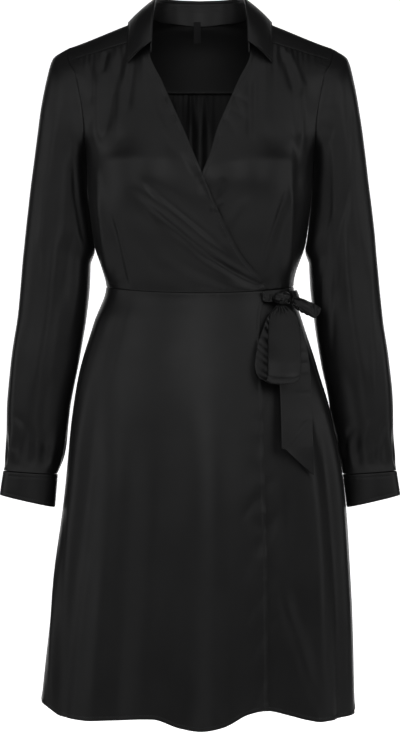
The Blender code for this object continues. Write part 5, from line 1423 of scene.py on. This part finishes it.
TAIL_OUTER = rows_of(Band, [
    (114, 14, -413, 5, 2, 0, 0.5), (120, 13.5, -428, 13, 6, 0, 1.5), (125, 14, -460, 20, 9, 0, 2.0),
    (128.5, 14, -510, 21.5, 10, 0, 1.5), (129.8, 14, -560, 21.5, 10, 0, 1.0), (130.5, 14, -596, 21.5, 10, 0, 1.0),
    (131, 14, -616, 21.5, 10, -20, 1.0),
])
TAIL_INNER = rows_of(Band, [
    (115, 9.2, -415, 4, 2, 0, 0.0), (122, 8.9, -430, 11, 5, 0, 0.5), (128, 8.8, -465, 15, 7, 0, 1.0),
    (131, 8.5, -515, 15, 7.5, 0, 1.0), (132, 8.5, -556, 15, 7.5, 0, 0.5), (132.5, 7.0, -574, 15, 7.5, 8, 0.5),
])
KNOT_MIDDLE, KNOT_HALF, KNOT_TURN = (112, 20, -397), (12.5, 9.3, 9.2), 30


# %% Strips
def in_front(x, off, z):
    """The y of a point that lies off in front of the skirt at x and z."""
    x, z = np.broadcast_arrays(np.asarray(x, float), np.asarray(z, float))
    v = np.full(x.shape, AT["front high hip"])
    for _ in range(8):
        w = cut(v, lambda y, height: x, 0.0, 1.0)
        low, high = np.zeros(x.shape), np.full(x.shape, AT["front waist"])
        for _ in range(20):
            middle = (low + high) / 2
            above = body(w, middle)[..., 2] > z
            low, high = np.where(above, low, middle), np.where(above, middle, high)
        v = (low + high) / 2
    rise = skirt_relief(w, v, small=False) / np.maximum(-outward(w, v)[..., 1], 0.4)
    return body(w, v)[..., 1] - rise - off


BAND_STEP, BAND_COLUMNS, BAND_THICKNESS = 2.2, 26, DOUBLE_THICKNESS - 0.2


def band_points(rows):
    middles = np.array([(b.x, in_front(b.x, b.off, b.z), b.z) for b in rows], float)
    wides = np.array([(b.wide_x, b.wide_y, b.wide_z) for b in rows], float)
    length = lengths(middles)
    along = graded(length[-1], max(int(length[-1] / BAND_STEP), 4))
    middle = np.stack([through(length, c)(along) for c in middles.T], axis=-1)
    wide = np.stack([through(length, c)(along) for c in wides.T], axis=-1)
    cup = through(length, [b.cup for b in rows])(along)
    out = unit(np.cross(wide, np.gradient(middle, axis=0)))
    half = np.linalg.norm(wide, axis=1).max()
    across = graded(2 * half, BAND_COLUMNS) / half - 1
    bulge = (cup[:, None] * (1 - across[None, :] ** 2))[..., None]
    return middle[:, None, :] + wide[:, None, :] * across[None, :, None] + out[:, None, :] * bulge, along, across * half


Strip = namedtuple("Strip", "node rows seed fan reach crush round knots")
STRIPS = [
    # fan is the height of the creases at the knot and reach how far they run; crush is the height of the crumples on
    # the first and the second half; round lifts the corners at the bend; knots says which ends are drawn together
    Strip("tie_front", TIE_FRONT, 0.4, 0.3, 20, (0.1, 0.1), 0, (1, 1)),
    Strip("tie_side", TIE_SIDE, 1.2, 0.6, 30, (0.3, 0.3), 0, (0, 1)),
    Strip("bow_loop_front", LOOP_FRONT, 2.1, 1.1, 11, (0.05, 1.5), 6, (1, 1)),
    Strip("bow_loop_side", LOOP_SIDE, 2.9, 1.5, 26, (2.4, 1.8), 2, (1, 1)),
    Strip("tie_end_outer", TAIL_OUTER, 3.5, 0.9, 22, (0.15, 0.1), 0, (1, 0)),
    Strip("tie_end_inner", TAIL_INNER, 4.2, 0.8, 22, (0.15, 0.1), 0, (1, 0)),
]
TAIL_CREASES = [(62, -0.5), (78, -0.6), (90, 0.4), (121, -0.4), (158, -0.35)]  # (how far down, height)
FAN_PITCH, CRUMPLE_PITCH, CRUMPLE_SLANT, HALVES_BLEND, CORNER_REACH = 8, 10, 0.7, 0.16, 16
BAND_RUMPLE, BAND_QUICKER, BAND_EDGE, BAND_EDGE_WIDTH, TAIL_CREASE_WIDTH = 0.4, 1.2, 0.3, 0.8, 3
for strip in STRIPS:
    points, along, across = band_points(strip.rows)
    normals = grid_normals(points)
    total = along[-1]
    starts, ends = bell(along / strip.reach), bell((total - along) / strip.reach)
    drawn = strip.knots[0] * starts + strip.knots[1] * ends
    creases = strip.fan * drawn[:, None] * np.cos(2 * np.pi * across[None, :] / FAN_PITCH + strip.seed)
    soft = BAND_RUMPLE * rumple(across[None, :] * BAND_QUICKER, along[:, None] * BAND_QUICKER, strip.seed)
    second = smoothstep((along / total - 0.5) / HALVES_BLEND + 0.5)
    crush = (strip.crush[0] * (1 - second) + strip.crush[1] * second)[:, None]
    crumples = crush * ripples(along[:, None] + CRUMPLE_SLANT * across[None, :], CRUMPLE_PITCH, strip.seed)
    crumples = crumples * (0.6 + 0.4 * np.sin(across[None, :] / 6 + along[:, None] / 11 + strip.seed))
    if strip.node.startswith("tie_end"):
        right = smoothstep(across / across.max() + 0.6)[None, :]
        crumples = crumples + right * sum(h * bell((along - at) / TAIL_CREASE_WIDTH) for at, h in TAIL_CREASES)[:, None]
    sewn = -BAND_EDGE * bell((across.max() - np.abs(across)) / BAND_EDGE_WIDTH)
    bend = points[..., 2].mean(axis=1).argmin() if strip.node == "bow_loop_front" else len(points) // 2
    corner = strip.round * bell((along - along[bend]) / CORNER_REACH)[:, None] * (across / across.max())[None, :] ** 4
    points = points + normals * (creases + soft + crumples + sewn[None, :])[..., None]
    points[..., 2] += corner
    made, _, _ = shell(strip.node + "_satin", points, satin, BAND_THICKNESS)
    declare(made, strip.node, held="gathered" if sum(strip.knots) == 2 else "hung", sizes=surface_sizes(points))

# %% Knot
KNOT_RINGS, KNOT_SPOKES, KNOT_SQUARE, KNOT_POLE = 48, 72, 2.3, 0.03
angle = np.arange(KNOT_SPOKES) * 2 * np.pi / KNOT_SPOKES
tilt = np.linspace(KNOT_POLE, np.pi - KNOT_POLE, KNOT_RINGS)
x = np.sin(tilt)[:, None] * np.cos(angle)[None, :]
y = np.sin(tilt)[:, None] * np.sin(angle)[None, :]
z = np.broadcast_to(np.cos(tilt)[:, None], x.shape)
wraps = 0.025 * np.cos(2 * np.pi * (x * 1.0 - z * 0.35) / 0.5 + 0.6) + 0.035 * np.cos(2 * np.pi * (z + 0.35 * x) / 0.5)
grooves = 0.10 * bell((x + 0.3 - 0.35 * z) / 0.14) + 0.09 * bell((z + 0.35 - 0.3 * x) / 0.12)
square = (np.abs(x) ** KNOT_SQUARE + np.abs(y) ** KNOT_SQUARE + np.abs(z) ** KNOT_SQUARE) ** (-1 / KNOT_SQUARE)
ball = np.stack([x, y, z], axis=-1) * (square * (1 + wraps - grooves))[..., None] * KNOT_HALF
turn_knot = math.radians(KNOT_TURN)
turned_x = ball[..., 0] * math.cos(turn_knot) - ball[..., 1] * math.sin(turn_knot)
turned_y = ball[..., 0] * math.sin(turn_knot) + ball[..., 1] * math.cos(turn_knot)
centre = np.array([KNOT_MIDDLE[0], float(in_front(*KNOT_MIDDLE)), KNOT_MIDDLE[2]])
ball = np.stack([turned_x, turned_y, ball[..., 2]], axis=-1) + centre
verts = np.concatenate([ball.reshape(-1, 3), [ball[0].mean(axis=0), ball[-1].mean(axis=0)]])
faces = pole_faces(KNOT_RINGS, KNOT_SPOKES)
mesh = bpy.data.meshes.new("bow_knot_satin")
mesh.from_pydata((verts * METRE).tolist(), [], faces)
mesh.shade_smooth()
mesh.materials.append(satin)
layer = mesh.uv_layers.new(name="cloth")
for loop in mesh.loops:
    co = mesh.vertices[loop.vertex_index].co
    layer.data[loop.index].uv = (co.x, co.z)
knot = linked("bow_knot_satin", mesh)
declare(knot, "bow_knot")
print("knot at", np.round(centre), len(faces), "faces")

# %% [markdown]
# ## Stitches
#
# Topstitching is what shows that this is a sewn garment. The stitches repeat along a path, which is what Geometry
# Nodes are for: the path becomes a curve, the curve is cut into equal lengths, and a small stretched bead lies on
# each point, turned along the path and raised along the cloth's outward direction.


# %% The stitch tree
def stitch_tree():
    tree = bpy.data.node_groups.new("stitches", "GeometryNodeTree")
    face = tree.interface
    face.new_socket("Path", in_out="INPUT", socket_type="NodeSocketGeometry")
    sizes = {"Pitch": 0.0030, "Stitch": 0.0023, "Thickness": 0.00055, "Wander": 0.00012}
    ids = {}
    for name, value in sizes.items():
        socket = face.new_socket(name, in_out="INPUT", socket_type="NodeSocketFloat")
        socket.default_value = value
        ids[name] = socket.identifier
    seed = face.new_socket("Seed", in_out="INPUT", socket_type="NodeSocketInt")
    ids["Seed"] = seed.identifier
    cloth = face.new_socket("Material", in_out="INPUT", socket_type="NodeSocketMaterial")
    ids["Material"] = cloth.identifier
    face.new_socket("Stitches", in_out="OUTPUT", socket_type="NodeSocketGeometry")
    new = tree.nodes.new
    given, result = new("NodeGroupInput"), new("NodeGroupOutput")
    to_curve, even = new("GeometryNodeMeshToCurve"), new("GeometryNodeResampleCurve")
    place = new("GeometryNodeInstanceOnPoints")
    even.mode = "LENGTH"
    bead, size = new("GeometryNodeMeshUVSphere"), new("ShaderNodeCombineXYZ")
    bead.inputs["Segments"].default_value, bead.inputs["Rings"].default_value = 6, 4
    bead.inputs["Radius"].default_value = 0.5
    up = new("GeometryNodeInputNamedAttribute")
    up.data_type = "FLOAT_VECTOR"
    up.inputs["Name"].default_value = "up"
    ahead = new("GeometryNodeInputTangent")
    turn = new("FunctionNodeAxesToRotation")
    turn.primary_axis, turn.secondary_axis = "Z", "X"
    wander, move, scatter = new("FunctionNodeRandomValue"), new("GeometryNodeSetPosition"), new("ShaderNodeVectorMath")
    wander.data_type, scatter.operation = "FLOAT_VECTOR", "SCALE"
    wander.inputs["Min"].default_value, wander.inputs["Max"].default_value = (-1, -1, -1), (1, 1, 1)
    real, paint = new("GeometryNodeRealizeInstances"), new("GeometryNodeSetMaterial")
    wires = [
        (given, "Path", to_curve, "Mesh"), (to_curve, "Curve", even, "Curve"), (given, "Pitch", even, "Length"),
        (even, "Curve", move, "Geometry"), (given, "Seed", wander, "Seed"), (wander, "Value", scatter, 0),
        (given, "Wander", scatter, "Scale"), (scatter, "Vector", move, "Offset"), (move, "Geometry", place, "Points"),
        (bead, "Mesh", place, "Instance"), (up, "Attribute", turn, "Primary Axis"),
        (ahead, "Tangent", turn, "Secondary Axis"), (turn, "Rotation", place, "Rotation"),
        (given, "Stitch", size, "X"), (given, "Thickness", size, "Y"), (given, "Thickness", size, "Z"),
        (size, "Vector", place, "Scale"), (place, "Instances", real, "Geometry"),
        (real, "Geometry", paint, "Geometry"), (given, "Material", paint, "Material"),
        (paint, "Geometry", result, "Stitches"),
    ]
    for source, given_by, target, taken_by in wires:
        tree.links.new(source.outputs[given_by], target.inputs[taken_by])
    return tree, ids


stitches, stitch_ids = stitch_tree()
print("stitch tree:", len(stitches.nodes), "nodes")


# %% Laying stitches along lines
def sew(name, lines, seed, rides_with):
    """Stitches along lines. Each line is points and their outward directions, in mm."""
    mesh = bpy.data.meshes.new(name)
    points = np.concatenate([line for line, _ in lines])
    ups = np.concatenate([up for _, up in lines])
    edges, first = [], 0
    for line, _ in lines:
        edges += [(first + i, first + i + 1) for i in range(len(line) - 1)]
        first += len(line)
    mesh.from_pydata((points * METRE).tolist(), edges, [])
    mesh.attributes.new("up", "FLOAT_VECTOR", "POINT").data.foreach_set("vector", ups.astype(np.float32).ravel())
    rough = linked(name + "_path", mesh)
    modifier = rough.modifiers.new("stitches", "NODES")
    modifier.node_group = stitches
    modifier[stitch_ids["Seed"]] = seed
    modifier[stitch_ids["Material"]] = thread
    made = baked(rough, name)
    made.data.shade_smooth()
    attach(made, "root")
    print(f"{name}: {len(made.data.polygons) // 24} stitches on {rides_with}")
    return made


EDGE_REACH = 16  # points from an edge, well past its second row of stitches


def line_at(outer, normals, gap, distance, edge):
    """The line on a panel's outside at one distance from an edge. edge is low, high, start or end."""
    if edge in ("start", "end"):
        outer, normals, gap = np.swapaxes(outer, 0, 1), np.swapaxes(normals, 0, 1), gap.T
    if edge in ("high", "end"):
        outer, normals, gap = outer[:, ::-1], normals[:, ::-1], gap[:, ::-1]
    line, ups = [], []
    outer, normals, gap = outer[:, :EDGE_REACH], normals[:, :EDGE_REACH], gap[:, :EDGE_REACH]
    for row, up, away in zip(outer, normals, np.maximum.accumulate(gap, axis=1)):
        line.append([np.interp(distance, away, c) for c in row.T])
        ups.append([np.interp(distance, away, c) for c in up.T])
    return np.array(line), unit(np.array(ups))


def panel_line(panel, edge):
    return line_at(panel.outer, panel.normals, panel.gaps[edge], STITCH_IN, edge)


sew("stitches_bodice_right", [panel_line(front_right, "high")], 3, "bodice_front_right")
sew("stitches_bodice_left", [panel_line(front_left, "low")], 4, "bodice_front_left")
sew("stitches_skirt_right", [panel_line(skirt_right, "high"), panel_line(skirt_right, "start")], 5, "skirt_front_right")
sew("stitches_skirt_left", [panel_line(skirt_left, "start")], 6, "skirt_front_left")
sew("stitches_skirt_back", [panel_line(skirt_back, "end")], 7, "skirt_back")


def ring_line(outer, normals, distance, edge):
    rim = {"low": outer[:, 0], "high": outer[:, -1], "start": outer[0], "end": outer[-1]}[edge]
    return line_at(outer, normals, near(outer, rim)[0], distance, edge)


sew("stitches_leaf", [ring_line(leaf_outer, leaf_out, STITCH_IN, "high")], 8, "collar_leaf")
stand_inside = (stand - grid_normals(stand) * DOUBLE_THICKNESS / 2, -grid_normals(stand))
sew("stitches_stand", [ring_line(*stand_inside, STITCH_IN, "high"), ring_line(*stand_inside, 2 * STITCH_IN, "high")],
    9, "collar_stand")
for name, (outer, normals) in cuffs.items():
    lines = [ring_line(outer, normals, STITCH_IN, edge) for edge in ("start", "end", "high")]
    sew("stitches_cuff_" + name, lines, 10, "cuff_" + name)

# %% [markdown]
# ## Triangle count
#
# Last, the triangles of all the meshes are counted.

# %% Triangle count
bpy.context.view_layer.update()
meshes = [o.data for o in bpy.data.objects if o.type == "MESH"]
print("triangles:", sum(len(p.vertices) - 2 for mesh in meshes for p in mesh.polygons))
